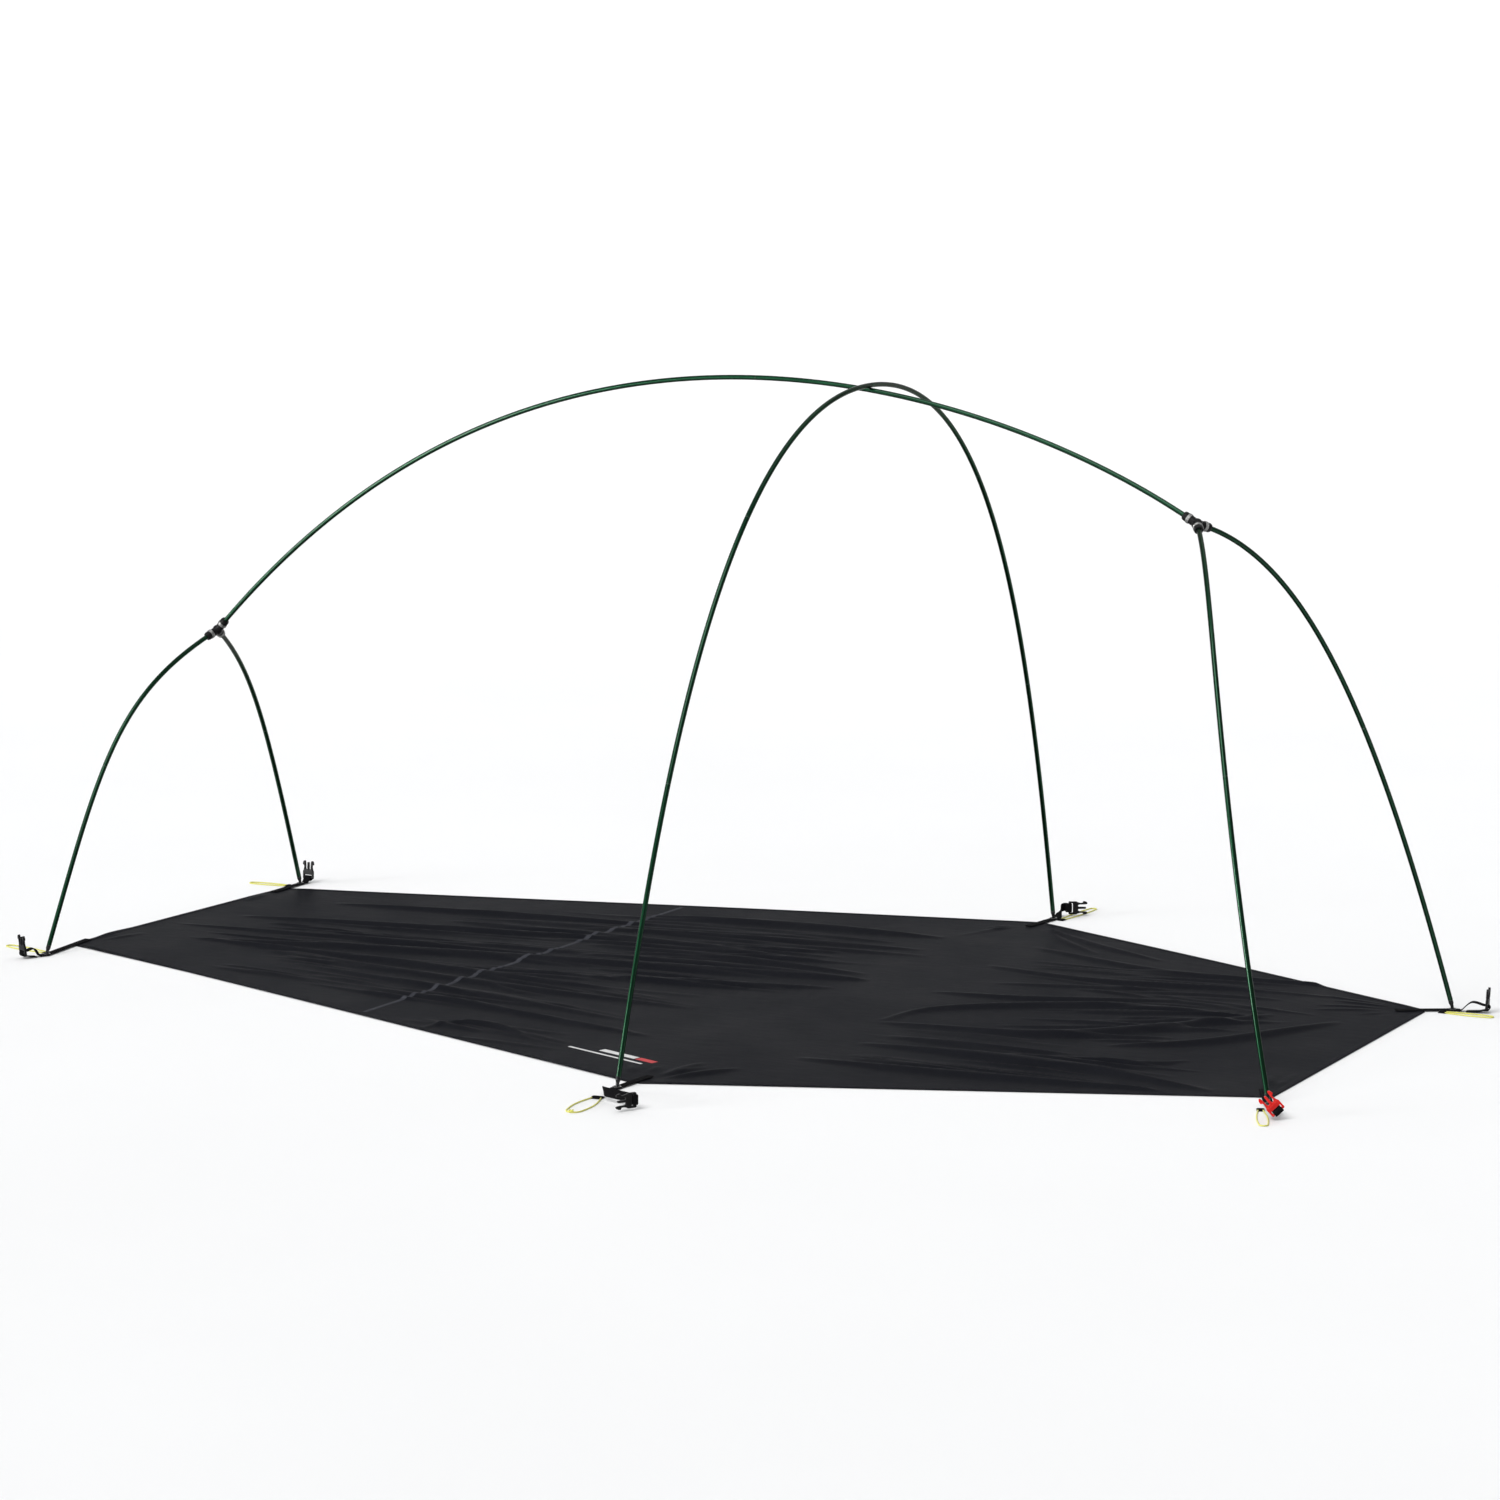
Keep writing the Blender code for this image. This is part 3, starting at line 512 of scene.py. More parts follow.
# ---------------------------------------------------------------- mesh builders
def add_mesh(name, vertices, faces, surface, uvs=None, wear=None, body=None, slot=None, sharp=40.0):
    """A named piece, smooth except at sharp edges, with its map and its wear."""
    mesh = bpy.data.meshes.new(name)
    mesh.from_pydata([tuple(v) for v in vertices], [], faces)
    if uvs is not None:
        layer = mesh.uv_layers.new(name="map")
        layer.data.foreach_set("uv", np.array(uvs, np.float32).ravel())
    if wear is not None:
        attribute = mesh.attributes.new("wear", "FLOAT", "POINT")
        attribute.data.foreach_set("value", np.array(wear, np.float32))
    shape = bmesh.new()
    shape.from_mesh(mesh)
    bmesh.ops.recalc_face_normals(shape, faces=shape.faces)
    shape.to_mesh(mesh)
    shape.free()
    mesh.shade_smooth()
    mesh.set_sharp_from_angle(angle=math.radians(sharp))
    mesh.materials.append(surface)
    made = bpy.data.objects.new(name, mesh)
    SCENE.collection.objects.link(made)
    if body is not None:
        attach(made, body)
    return made


def skin(rings, at, girth):
    """Vertices, faces and map corners of a skin over rings, with flat ends."""
    n = len(rings[0])
    vertices = np.array(rings).reshape(-1, 3)
    faces, uvs = [], []
    for i in range(len(rings) - 1):
        for k in range(n):
            m = (k + 1) % n
            faces.append((i * n + k, i * n + m, (i + 1) * n + m, (i + 1) * n + k))
            low, high = k / n * girth, (k + 1) / n * girth
            uvs += [(at[i], low), (at[i], high), (at[i + 1], high), (at[i + 1], low)]
    for first, at_end in ((0, at[0]), ((len(rings) - 1) * n, at[-1])):
        faces.append(tuple(range(first, first + n)))
        uvs += [(at_end, k / n * girth) for k in range(n)]
    return vertices, faces, uvs


def swept(name, rings, at, girth, surface, wear=None, **rest):
    vertices, faces, uvs = skin(rings, at, girth)
    worn = None if wear is None else np.repeat(wear, len(rings[0]))
    return add_mesh(name, vertices, faces, surface, uvs, worn, **rest)


def turned_along(name, route, profile, surface, sides=28, wear=None, **rest):
    """A round piece along a route from (distance, radius) pairs."""
    rings, at = [], [0.0]
    angles = (np.arange(sides) + 0.5) * 2 * math.pi / sides
    for s, radius in profile:
        centre, _, side, up = route.place(s)
        rings.append([centre + radius * (math.cos(a) * side + math.sin(a) * up) for a in angles])
    for (s, r), (t, q) in zip(profile, profile[1:]):
        at.append(at[-1] + math.hypot(t - s, q - r))
    girth = 2 * math.pi * max(r for _, r in profile)
    return swept(name, rings, at, girth, surface, wear, **rest)


def ring_piece(name, profile, centre, surface, wear, sides=48, **rest):
    """A closed ring about the vertical from a loop of (radius, height) pairs."""
    n = len(profile)
    vertices, faces, uvs = [], [], []
    for k in range(sides):
        a = 2 * math.pi * k / sides
        vertices += [centre + np.array((r * math.cos(a), r * math.sin(a), z)) for r, z in profile]
    for k in range(sides):
        m = (k + 1) % sides
        for i in range(n):
            j = (i + 1) % n
            faces.append((k * n + i, m * n + i, m * n + j, k * n + j))
            uvs += [(x * 0.001, y * 0.001) for x, y in ((k, i), (k + 1, i), (k + 1, i + 1), (k, i + 1))]
    return add_mesh(name, vertices, faces, surface, uvs, list(wear) * sides, **rest)


def apply_modifiers(target):
    """Makes the modifiers' result the piece's own mesh."""
    graph = bpy.context.evaluated_depsgraph_get()
    made = bpy.data.meshes.new_from_object(target.evaluated_get(graph))
    target.modifiers.clear()
    target.data = made


def add_boolean(target, operation, other):
    step = target.modifiers.new("boolean", "BOOLEAN")
    step.operation = operation
    step.solver = "EXACT"
    step.object = other


def remove(objects):
    for other in objects:
        bpy.data.objects.remove(other, do_unlink=True)


def cut(target, cutter):
    add_boolean(target, "DIFFERENCE", cutter)
    apply_modifiers(target)
    remove([cutter])


def stitches(name, rows, surface, body, slot, length=0.0026, gap=0.0010, radius=0.00024):
    """Short raised stitches along rows of (point, normal), all in one piece."""
    vertices, faces = [], []
    for row in rows:
        points = np.array([np.concatenate(pair) for pair in row])
        total = np.linalg.norm(np.diff(points[:, :3], axis=0), axis=1).sum()
        dense = even_rows(points, total / max(2, round(total / (length + gap)) * 8))
        for first in range(0, len(dense) - 6, 8):
            run = dense[first:first + 6]
            along = unit(run[-1, :3] - run[0, :3])
            base = len(vertices)
            for share, size in ((0.0, 0.35), (0.2, 0.9), (0.5, 1.0), (0.8, 0.9), (1.0, 0.35)):
                at = share * (len(run) - 1)
                middle = np.array([np.interp(at, range(len(run)), run[:, k]) for k in range(6)])
                normal = unit(middle[3:])
                side = np.cross(along, normal)
                lift = normal * radius * (0.5 * size - 0.2)
                for a in np.arange(6) * math.pi / 3:
                    out = math.cos(a) * side * radius * 1.1 + math.sin(a) * normal * radius * 0.8
                    vertices.append(middle[:3] + lift + out * size)
            for i in range(4):
                for k in range(6):
                    m = (k + 1) % 6
                    a, b = base + i * 6, base + (i + 1) * 6
                    faces.append((a + k, a + m, b + m, b + k))
            faces.append(tuple(range(base, base + 6)))
            faces.append(tuple(range(base + 24, base + 30)))
    return add_mesh(name, vertices, faces, surface, body=body, slot=slot)


# ---------------------------------------------------------------- pegging loops
PEG_LOOPS = {   # where each loop of cord leaves its strap, its far end, and half its width
    "low_front": ((-1.347, -0.352), (-1.440, -0.335), 0.009),
    "low_back": ((-1.3455, 0.346), (-1.420, 0.337), 0.008),
    "mid_back": ((0.0145, 0.743), (0.020, 0.862), 0.008),
    "high_back": ((0.866, 0.349), (0.945, 0.352), 0.008),
    "high_front": ((0.873, -0.404), (0.914, -0.489), 0.008),
    "mid_front": ((0.006, -0.803), (0.020, -0.897), 0.015),
}
LOOP_STEP = 0.005           # between the points along a loop's sides
LOOP_START_SHARE = 0.45     # a loop's half width where it starts, as a share of its widest
LOOP_SWELL = 2.53           # turn of the sine that swells its sides, widest at five eighths
LOOP_END_SHARE = 0.766      # its far end bends round this share of its half width


def loop_route(start, tip, half_width):
    """A pegging loop on the ground, out to its far end and back to where it began."""
    height = CORD_R + 0.0001
    start = np.array((*start, height))
    run = np.array((*tip, height)) - start
    along = unit(run)
    side = np.cross(UP, along) * half_width
    bend = LOOP_END_SHARE * half_width
    reach = np.linalg.norm(run) - bend
    count = int(reach / LOOP_STEP)
    shares = np.arange(count) / count
    swell = LOOP_START_SHARE + (1.0 - LOOP_START_SHARE) * np.sin(LOOP_SWELL * shares)
    out = [start + along * reach * s + side * w for s, w in zip(shares, swell)]
    back = [start + along * reach * s - side * w for s, w in zip(shares, swell)]
    turns = [math.radians(a) for a in (76, 38, 0, -38, -76)]
    end = [start + along * (reach + bend * math.cos(a)) + side * LOOP_END_SHARE * math.sin(a) for a in turns]
    return [*out, *end, *reversed(back)]


BRAID_STEP = 0.00055        # between the rings of a cord's skin
BRAID_SIDES = 14
BRAID_PITCH = 0.0042        # length in which a strand goes once round


def cord_tube(name, points, surface, radius, **rest):
    """A braided cord along points: its two sets of strands stand out of its skin."""
    route = Route(points, np.cross(points[1] - points[0], UP))
    at = np.linspace(0.0, route.length, max(8, int(route.length / BRAID_STEP)))
    angles = np.arange(BRAID_SIDES) * 2 * math.pi / BRAID_SIDES
    rings = []
    for s in at:
        centre, _, side, up = route.place(s)
        ring = []
        for a in angles:
            one = math.cos(4 * a + 2 * math.pi * s / BRAID_PITCH)
            two = math.cos(4 * a - 2 * math.pi * s / BRAID_PITCH)
            r = radius * (0.94 + 0.06 * max(one, two))
            ring.append(centre + r * (math.cos(a) * side + math.sin(a) * up))
        rings.append(ring)
    return swept(name, rings, at, 2 * math.pi * radius, surface, sharp=80.0, **rest)


def knot_points(centre, along, size):
    """A small overhand knot, pulled tight, lying flat."""
    t = np.linspace(0.15, 2 * math.pi - 0.15, 90)[:, None]
    side = np.cross(UP, along)
    across = np.sin(t) + 2 * np.sin(2 * t)
    forward = np.cos(t) - 2 * np.cos(2 * t)
    height = -np.sin(3 * t)
    return centre + size * (across * side * 0.40 + forward * along * 0.40 + height * UP * 0.36)


def make_peg_loops(mats):
    for corner in CORNERS:
        start, tip, half_width = PEG_LOOPS[corner]
        dense = smooth_through(loop_route(start, tip, half_width), per_span=24)
        name = f"{corner}_pegging_cord"
        piece = cord_tube(name, dense, mats["yellow"], CORD_R, body="groundsheet", slot="yellow_cord")
        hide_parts(f"{corner}_peg_loop")
        along = unit(np.array((*tip, 0.0)) - np.array((*start, 0.0)))
        fixed = np.array((*start, CORD_R + 0.0002))
        tab = make_tab(corner, fixed, along, half_width, mats)
        if corner == "mid_front":
            where = np.array((*tip, 0.0026)) - along * 0.0015
            knot = cord_tube(f"{corner}_cord_knot", knot_points(where, along, 0.0030), mats["yellow"],
                             CORD_R * 0.95, body="groundsheet", slot="yellow_cord")


TAB_LENGTH = 0.014
TAB_INSIDE = 0.0095         # how far a tab reaches under its strap
TAB_HALF_THICKNESS = 0.00135


def make_tab(corner, centre, along, half_width, mats):
    """A short sewn tab that holds both ends of a pegging loop under the strap."""
    inner = centre - along * TAB_INSIDE
    side = np.cross(UP, along)
    half = half_width * LOOP_START_SHARE + 2 * CORD_R
    rings = []
    for share in np.linspace(0.0, 1.0, 18):
        middle = inner + along * TAB_LENGTH * share
        bulge = math.sin(math.pi * min(1.0, share * 1.1 + 0.04)) ** 0.5
        thick = TAB_HALF_THICKNESS * bulge + 0.0002
        middle[2] = max(thick, 0.0004) + 0.0001
        ring = []
        for a in np.arange(20) * math.pi / 10:
            c, s = math.cos(a), math.sin(a)
            x = math.copysign(abs(c) ** 0.4, c) * half
            z = math.copysign(abs(s) ** 0.6, s) * thick
            ring.append(middle + side * x + UP * z)
        rings.append(ring)
    at = np.linspace(0.0, TAB_LENGTH, len(rings))
    return swept(f"{corner}_cord_tab", rings, at, 4 * half, mats["webbing"],
                 body="groundsheet", slot="strap_webbing", sharp=60.0)


# ---------------------------------------------------------------- straps and buckles
def corner_layout():
    """For each corner: the path of its strap as (point, side) pairs, and its buckle's bar."""
    layout = {}
    for corner in CORNERS:
        foot = FEET[corner]
        corner_cut = np.array((*SHEET_CORNERS[corner], STRAP_HEIGHT))
        inward = unit(corner_cut - foot)
        reach = np.linalg.norm(corner_cut - foot)
        side = np.cross(UP, inward)
        path = [(foot + inward * (reach + STRAP_ON_SHEET), side), (foot + inward * (reach + 0.010), side)]
        path.append((foot + inward * (FLAT_REACH + 0.004), side))
        path.append((foot + inward * FLAT_REACH, side))
        layout[corner] = {"foot": foot, "inward": inward, "path": path, "reach": reach}

    def wrap(path, bar, out, normal, side, first=90):
        for angle in (*range(first, 90, -40), 90, 45, 0, -45, -90):
            a = math.radians(angle)
            path.append((bar + WRAP_R * (math.cos(a) * out + math.sin(a) * normal), side))

    def standing_loop(corner, out, reach, rise, bar_height, lean, tail, tilt=0.0, first=90):
        foot = layout[corner]["foot"]
        path = layout[corner]["path"]
        out = unit(np.array((*out, 0.0)))
        level = -np.cross(UP, out)
        side = math.cos(tilt) * level + math.sin(tilt) * UP
        normal = np.cross(side, out)
        path.append((foot, unit(path[0][1] + level)))
        path.append((foot + out * FLAT_REACH, level))
        path.append((foot + out * (FLAT_REACH + 0.004), level))
        bar = foot + out * reach
        bar[2] = bar_height
        if rise > 0.0:
            point = foot + out * reach * 0.55
            point[2] = rise
            path.append((point, unit(level + side)))
            path.append((bar - out * 0.005 + normal * WRAP_R, side))
        wrap(path, bar, out, normal, side, first)
        path.append((bar - out * 0.005 - normal * WRAP_R, side))
        for share, height in tail:
            point = foot + out * reach * share
            point[2] = height
            path.append((point, side))
        forward = math.cos(lean) * normal + math.sin(lean) * out
        layout[corner].update(bar=bar, side=side, forward=forward)

    def edge_loop(corner, turns, out, fold=0.0):
        foot = layout[corner]["foot"]
        path = layout[corner]["path"]
        inward = layout[corner]["inward"]
        out = unit(np.array((*out, 0.0)))
        path.append((foot, path[0][1]))
        path.append((foot - inward * FLAT_REACH, path[0][1]))
        path.append((foot - inward * (FLAT_REACH + 0.004), path[0][1]))
        for (dx, dy), height, upright in turns:
            point = foot + np.array((dx, dy, 0.0))
            point[2] = height
            along = unit((point - path[-1][0]) * np.array((1.0, 1.0, 0.0)))
            side = unit(np.cross(along, UP) * (1 - upright) + UP * upright)
            path.append((point, side))
        normal = np.cross(UP, out)
        bar = path[-1][0] + out * 0.011 - normal * WRAP_R
        wrap(path, bar, out, normal, UP)
        path.append((bar - out * 0.007 - normal * (WRAP_R - 0.0010), UP))
        forward = math.cos(fold) * out + math.sin(fold) * normal
        layout[corner].update(bar=bar, side=UP, forward=forward)

    standing_loop("low_front", (-0.45, -0.89), 0.042, 0.0150, 0.0085, 0.10, ((0.72, 0.0024), (0.46, 0.0010)))
    standing_loop("high_back", (0.98, 0.20), 0.054, 0.0160, 0.0085, 0.05, ((0.75, 0.0022), (0.40, 0.0010)))
    standing_loop("low_back", (0.05, 1.00), 0.0235, 0.0, 0.0090, 0.05, (), first=170)
    standing_loop("high_front", (0.52, -0.85), 0.088, 0.0120, 0.0135, -0.10, (), tilt=-0.75)
    edge_loop("mid_back", (((-0.004, 0.028), 0.0060, 0.35), ((-0.002, 0.042), 0.0150, 1.0)), (0.87, 0.49))
    edge_loop(
        "mid_front",
        (((0.008, -0.036), 0.0065, 0.35), ((0.024, -0.074), 0.0140, 0.95), ((0.081, -0.093), 0.0150, 1.0)),
        (0.95, -0.30), fold=-1.78,
    )
    return layout


LAYOUT = corner_layout()
SELVEDGE = 0.10             # how much thicker webbing is along its two edges
STRAP_HOLE_R = 0.0052
GROMMET_HOLE_R = 0.0041
GROMMET_FLANGE_R = 0.0068
GROMMET_WALL_R = 0.0048     # outside of the barrel that passes through the strap
GROMMET_RIM = 0.0009


def strap_rows(path, step):
    """Even (point, side, along, up) rows along a strap's path."""
    rows = even_rows(smooth_through([np.concatenate(pair) for pair in path]), step)
    along = np.gradient(rows[:, :3], axis=0)
    made = []
    for row, direction in zip(rows, along):
        direction = unit(direction)
        side = unit(row[3:] - direction * (row[3:] @ direction))
        made.append((row[:3], side, direction, unit(np.cross(direction, side))))
    return made


def make_strap(corner, mats):
    rows = strap_rows(LAYOUT[corner]["path"], 0.0011)
    half_w, half_t = STRAP_WIDTH / 2, STRAP_THICKNESS / 2
    across = np.concatenate([np.linspace(-1.0, 1.0, 15), np.linspace(1.0, -1.0, 15)[1:-1]])
    rings = []
    for i, (point, side, _, up) in enumerate(rows):
        rib = 0.00005 * math.cos(2 * math.pi * i * 0.5)
        ring = []
        for k, x in enumerate(across):
            top = 1.0 if k < 15 else -1.0
            if abs(x) == 1.0:
                top = 0.0
            edge = half_t * (1.0 - 0.62 * abs(x) ** 10 - SELVEDGE * (abs(x) < 0.72)) + rib
            ring.append(point + side * half_w * x - up * top * edge)
        rings.append(ring)
    steps = [0.0, *np.cumsum([np.linalg.norm(b[0] - a[0]) for a, b in zip(rows, rows[1:])])]
    girth = 2 * STRAP_WIDTH + 2 * STRAP_THICKNESS
    piece = swept(f"{corner}_webbing", rings, steps, girth, mats["webbing"], sharp=70.0)
    foot = LAYOUT[corner]["foot"]
    angles = np.arange(40) * math.pi / 20
    hole = [[foot + np.array((STRAP_HOLE_R * math.cos(a), STRAP_HOLE_R * math.sin(a), z)) for a in angles]
            for z in (-0.0018, 0.0018)]
    cut(piece, swept("hole", hole, [0.0, 0.0036], 0.03, mats["webbing"]))
    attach(piece, "groundsheet")
    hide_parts(f"{corner}_strap")
    make_strap_stitches(corner, rows, steps, mats)


def make_strap_stitches(corner, rows, steps, mats):
    """A sewn box with a cross on the sheet, and a double bar of stitches on the sheet's side of the eyelet.
    """
    reach = LAYOUT[corner]["reach"]
    lift = STRAP_THICKNESS / 2 * (1.0 - SELVEDGE)
    flat = [(p, s, u if u[2] > 0 else -u) for p, s, _, u in rows]

    def at(distance, across):
        i = min(range(len(steps)), key=lambda k: abs(steps[k] - distance))
        point, side, up = flat[i]
        return point + side * across + up * lift, up

    low, high, half = 0.004, STRAP_ON_SHEET - 0.004, STRAP_WIDTH / 2 - 0.0022
    edges = [
        [at(s, -half) for s in np.linspace(low, high, 12)],
        [at(s, half) for s in np.linspace(low, high, 12)],
        [at(low, x) for x in np.linspace(-half, half, 6)],
        [at(high, x) for x in np.linspace(-half, half, 6)],
        [at(low + (high - low) * t, half * (2 * t - 1)) for t in np.linspace(0, 1, 12)],
        [at(low + (high - low) * t, half * (1 - 2 * t)) for t in np.linspace(0, 1, 12)],
    ]
    centre = STRAP_ON_SHEET + reach
    for offset in (-0.0125, -0.0105):
        edges.append([at(centre + offset, x) for x in np.linspace(-half, half, 7)])
    stitches(f"{corner}_strap_stitching", edges, mats["thread"], "groundsheet", "strap_webbing")


def make_grommet(corner, mats):
    half = STRAP_THICKNESS / 2 + GAP
    hole, flange = GROMMET_HOLE_R, GROMMET_FLANGE_R
    loop, wear = [], []
    for sign in (1.0, -1.0):
        arc = np.linspace(0.0, math.pi, 9)
        if sign < 0:
            arc = arc[::-1]
        for a in arc:
            r = (hole + flange) / 2 - math.cos(a) * (flange - hole) / 2
            z = sign * (half + GROMMET_RIM * math.sin(a) ** 0.7)
            loop.append((r, z))
            wear.append(max(0.0, math.sin(a)) ** 3)
        if sign > 0:
            loop += [(GROMMET_WALL_R, half), (GROMMET_WALL_R, -half)]
            wear += [0.0, 0.0]
    ordered = loop[:9] + [(flange, half * 0.98)] + loop[9:11] + [(flange, -half * 0.98)] + loop[11:]
    worn = wear[:9] + [0.3] + wear[9:11] + [0.3] + wear[11:]
    piece = ring_piece(f"{corner}_eyelet", ordered, LAYOUT[corner]["foot"], mats["grommet"], worn,
                       body="groundsheet", slot="grommet_metal")
    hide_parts(f"{corner}_grommet")


def buckle_side():
    """The right half of a male buckle half's outline, from its bar to its guide tongue."""
    w = BUCKLE_WIDTH / 2
    bar = BUCKLE_BAR_R
    end = BUCKLE_LENGTH - bar
    root = 0.0150
    arm = smooth_through([
        (w - 0.0012, root - 0.0012), (w - 0.0026, root + 0.0042), (w - 0.0021, end - 0.0084),
        (w - 0.0003, end - 0.0076), (w + 0.0004, end - 0.0062), (w - 0.0002, end - 0.0028),
        (w - 0.0018, end - 0.0006), (w - 0.0032, end - 0.0002), (w - 0.0044, end - 0.0016),
        (w - 0.0050, end - 0.0060), (w - 0.0052, root + 0.0030), (w - 0.0060, root + 0.0006),
    ], per_span=5)
    corner = [(w - 0.0016 + 0.0016 * math.sin(a), -bar + 0.0016 - 0.0016 * math.cos(a))
              for a in np.linspace(0.0, math.pi / 2, 6)]
    tongue = [(0.0026, root), (0.0019, root + 0.0012), (0.0016, end - 0.0042), (0.0011, end - 0.0026)]
    return corner + [(w, root - 0.0030)] + [tuple(p) for p in arm] + tongue


def prism(name, outline, holes, low, high, surface):
    """A flat plate with straight walls, in its own XY plane."""
    shape = bmesh.new()
    for loop in (outline, *holes):
        points = [shape.verts.new((x, y, low)) for x, y in loop]
        for a, b in zip(points, points[1:] + points[:1]):
            shape.edges.new((a, b))
    bmesh.ops.triangle_fill(shape, use_beauty=True, use_dissolve=False, edges=shape.edges[:])
    lifted = bmesh.ops.extrude_face_region(shape, geom=shape.faces[:])
    moved = [v for v in lifted["geom"] if isinstance(v, bmesh.types.BMVert)]
    bmesh.ops.translate(shape, verts=moved, vec=(0.0, 0.0, high - low))
    bmesh.ops.recalc_face_normals(shape, faces=shape.faces)
    mesh = bpy.data.meshes.new(name)
    shape.to_mesh(mesh)
    shape.free()
    mesh.materials.append(surface)
    made = bpy.data.objects.new(name, mesh)
    SCENE.collection.objects.link(made)
    return made


def rounded_box(centre, half, corner=0.0006):
    """Outline of a rectangle with round corners."""
    points = []
    for quarter, (sx, sy) in enumerate(((1, 1), (-1, 1), (-1, -1), (1, -1))):
        for a in np.linspace(0.0, math.pi / 2, 4):
            angle = a + quarter * math.pi / 2
            points.append((centre[0] + sx * (half[0] - corner) + corner * math.cos(angle),
                           centre[1] + sy * (half[1] - corner) + corner * math.sin(angle)))
    return points


def buckle_mesh(surface):
    """A male side-release half: bar, slot, ribbed body, sprung arms with hooks, guide tongue."""
    right = buckle_side()
    outline = right + [(-x, y) for x, y in reversed(right)]
    x = STRAP_WIDTH / 2 + 0.0010
    slot_end = WRAP_R + STRAP_THICKNESS / 2 + 0.0012
    slot = rounded_box((0.0, (BUCKLE_BAR_R + slot_end) / 2), (x, (slot_end - BUCKLE_BAR_R) / 2))
    half = BUCKLE_THICKNESS / 2
    body = prism("buckle_body", outline, [slot], -half * 0.80, half * 0.80, surface)
    additions = []
    for sign in (1.0, -1.0):
        low, high = sorted((sign * half * 0.72, sign * half))
        for y in (0.0082, 0.0100, 0.0118):
            bar = rounded_box((0.0, y), (BUCKLE_WIDTH / 2 - 0.0024, 0.00050), 0.00045)
            additions.append(prism("rib", bar, [], low, high, surface))
        rim = rounded_box((0.0, 0.0), (BUCKLE_WIDTH / 2 - 0.0014, 0.00105), 0.0009)
        additions.append(prism("bar_rim", rim, [], low, high, surface))
        for side in (1.0, -1.0):
            spine = rounded_box((side * (BUCKLE_WIDTH / 2 - 0.0037), 0.0205), (0.00055, 0.0048), 0.0005)
            additions.append(prism("arm_rib", spine, [], low, high, surface))
        tongue = rounded_box((0.0, 0.0200), (0.00085, 0.0056), 0.0006)
        additions.append(prism("tongue_rib", tongue, [], low, high, surface))
    for piece in additions:
        add_boolean(body, "UNION", piece)
    round_off = body.modifiers.new("round", "BEVEL")
    round_off.width = 0.00032
    round_off.segments = 3
    round_off.limit_method = "ANGLE"
    round_off.angle_limit = math.radians(38)
    round_off.harden_normals = True
    apply_modifiers(body)
    mesh = body.data
    remove([*additions, body])
    mesh.shade_smooth()
    mesh.set_sharp_from_angle(angle=math.radians(50))
    return mesh


def make_buckles(mats):
    shared = buckle_mesh(mats["black"])
    for corner in CORNERS:
        placed = LAYOUT[corner]
        mesh = shared.copy()
        x = unit(placed["side"])
        y = unit(placed["forward"] - x * (placed["forward"] @ x))
        z = np.cross(x, y)
        turn = Matrix([[x[i], y[i], z[i]] for i in range(3)]).to_4x4()
        mesh.transform(Matrix.Translation(Vector(placed["bar"])) @ turn)
        red = corner == "high_front"
        mesh.materials[0] = mats["red"] if red else mats["black"]
        piece = bpy.data.objects.new(f"{corner}_side_release_half", mesh)
        SCENE.collection.objects.link(piece)
        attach(piece, f"{corner}_buckle")
        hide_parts(f"{corner}_buckle")


# ---------------------------------------------------------------- poles and hubs
def section_profile(start, end):
    """(distance, radius, wear) along one tube with chamfered ends."""
    chamfer = 0.00035
    count = max(6, round((end - start) / 0.011))
    middle = np.linspace(start + chamfer, end - chamfer, count)
    near = [start + d for d in (0.0012, 0.003, 0.006)] + [end - d for d in (0.006, 0.003, 0.0012)]
    stations = sorted([*middle, *near])
    profile = [(start, POLE_R - 0.0011, 1.0), (start, POLE_R - chamfer, 1.0)]
    for s in stations:
        edge = min(s - start, end - s)
        profile.append((s, POLE_R, math.exp(-edge / 0.0008)))
    return profile + [(end, POLE_R - chamfer, 1.0), (end, POLE_R - 0.0011, 1.0)]


def make_pole(prefix, route, start, end, count, body, mats):
    cuts = np.linspace(start, end, count + 1)
    for i in range(count):
        stop = cuts[i + 1] - (GAP if i < count - 1 else 0.0)
        profile = section_profile(cuts[i], stop)
        piece = turned_along(
            f"{prefix}_tube_{i + 1}", route, [(s, r) for s, r, _ in profile], mats["green"], 24,
            [w for _, _, w in profile], body=body, slot="green_anodised",
        )
        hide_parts(f"{prefix}_section_{i + 1}")


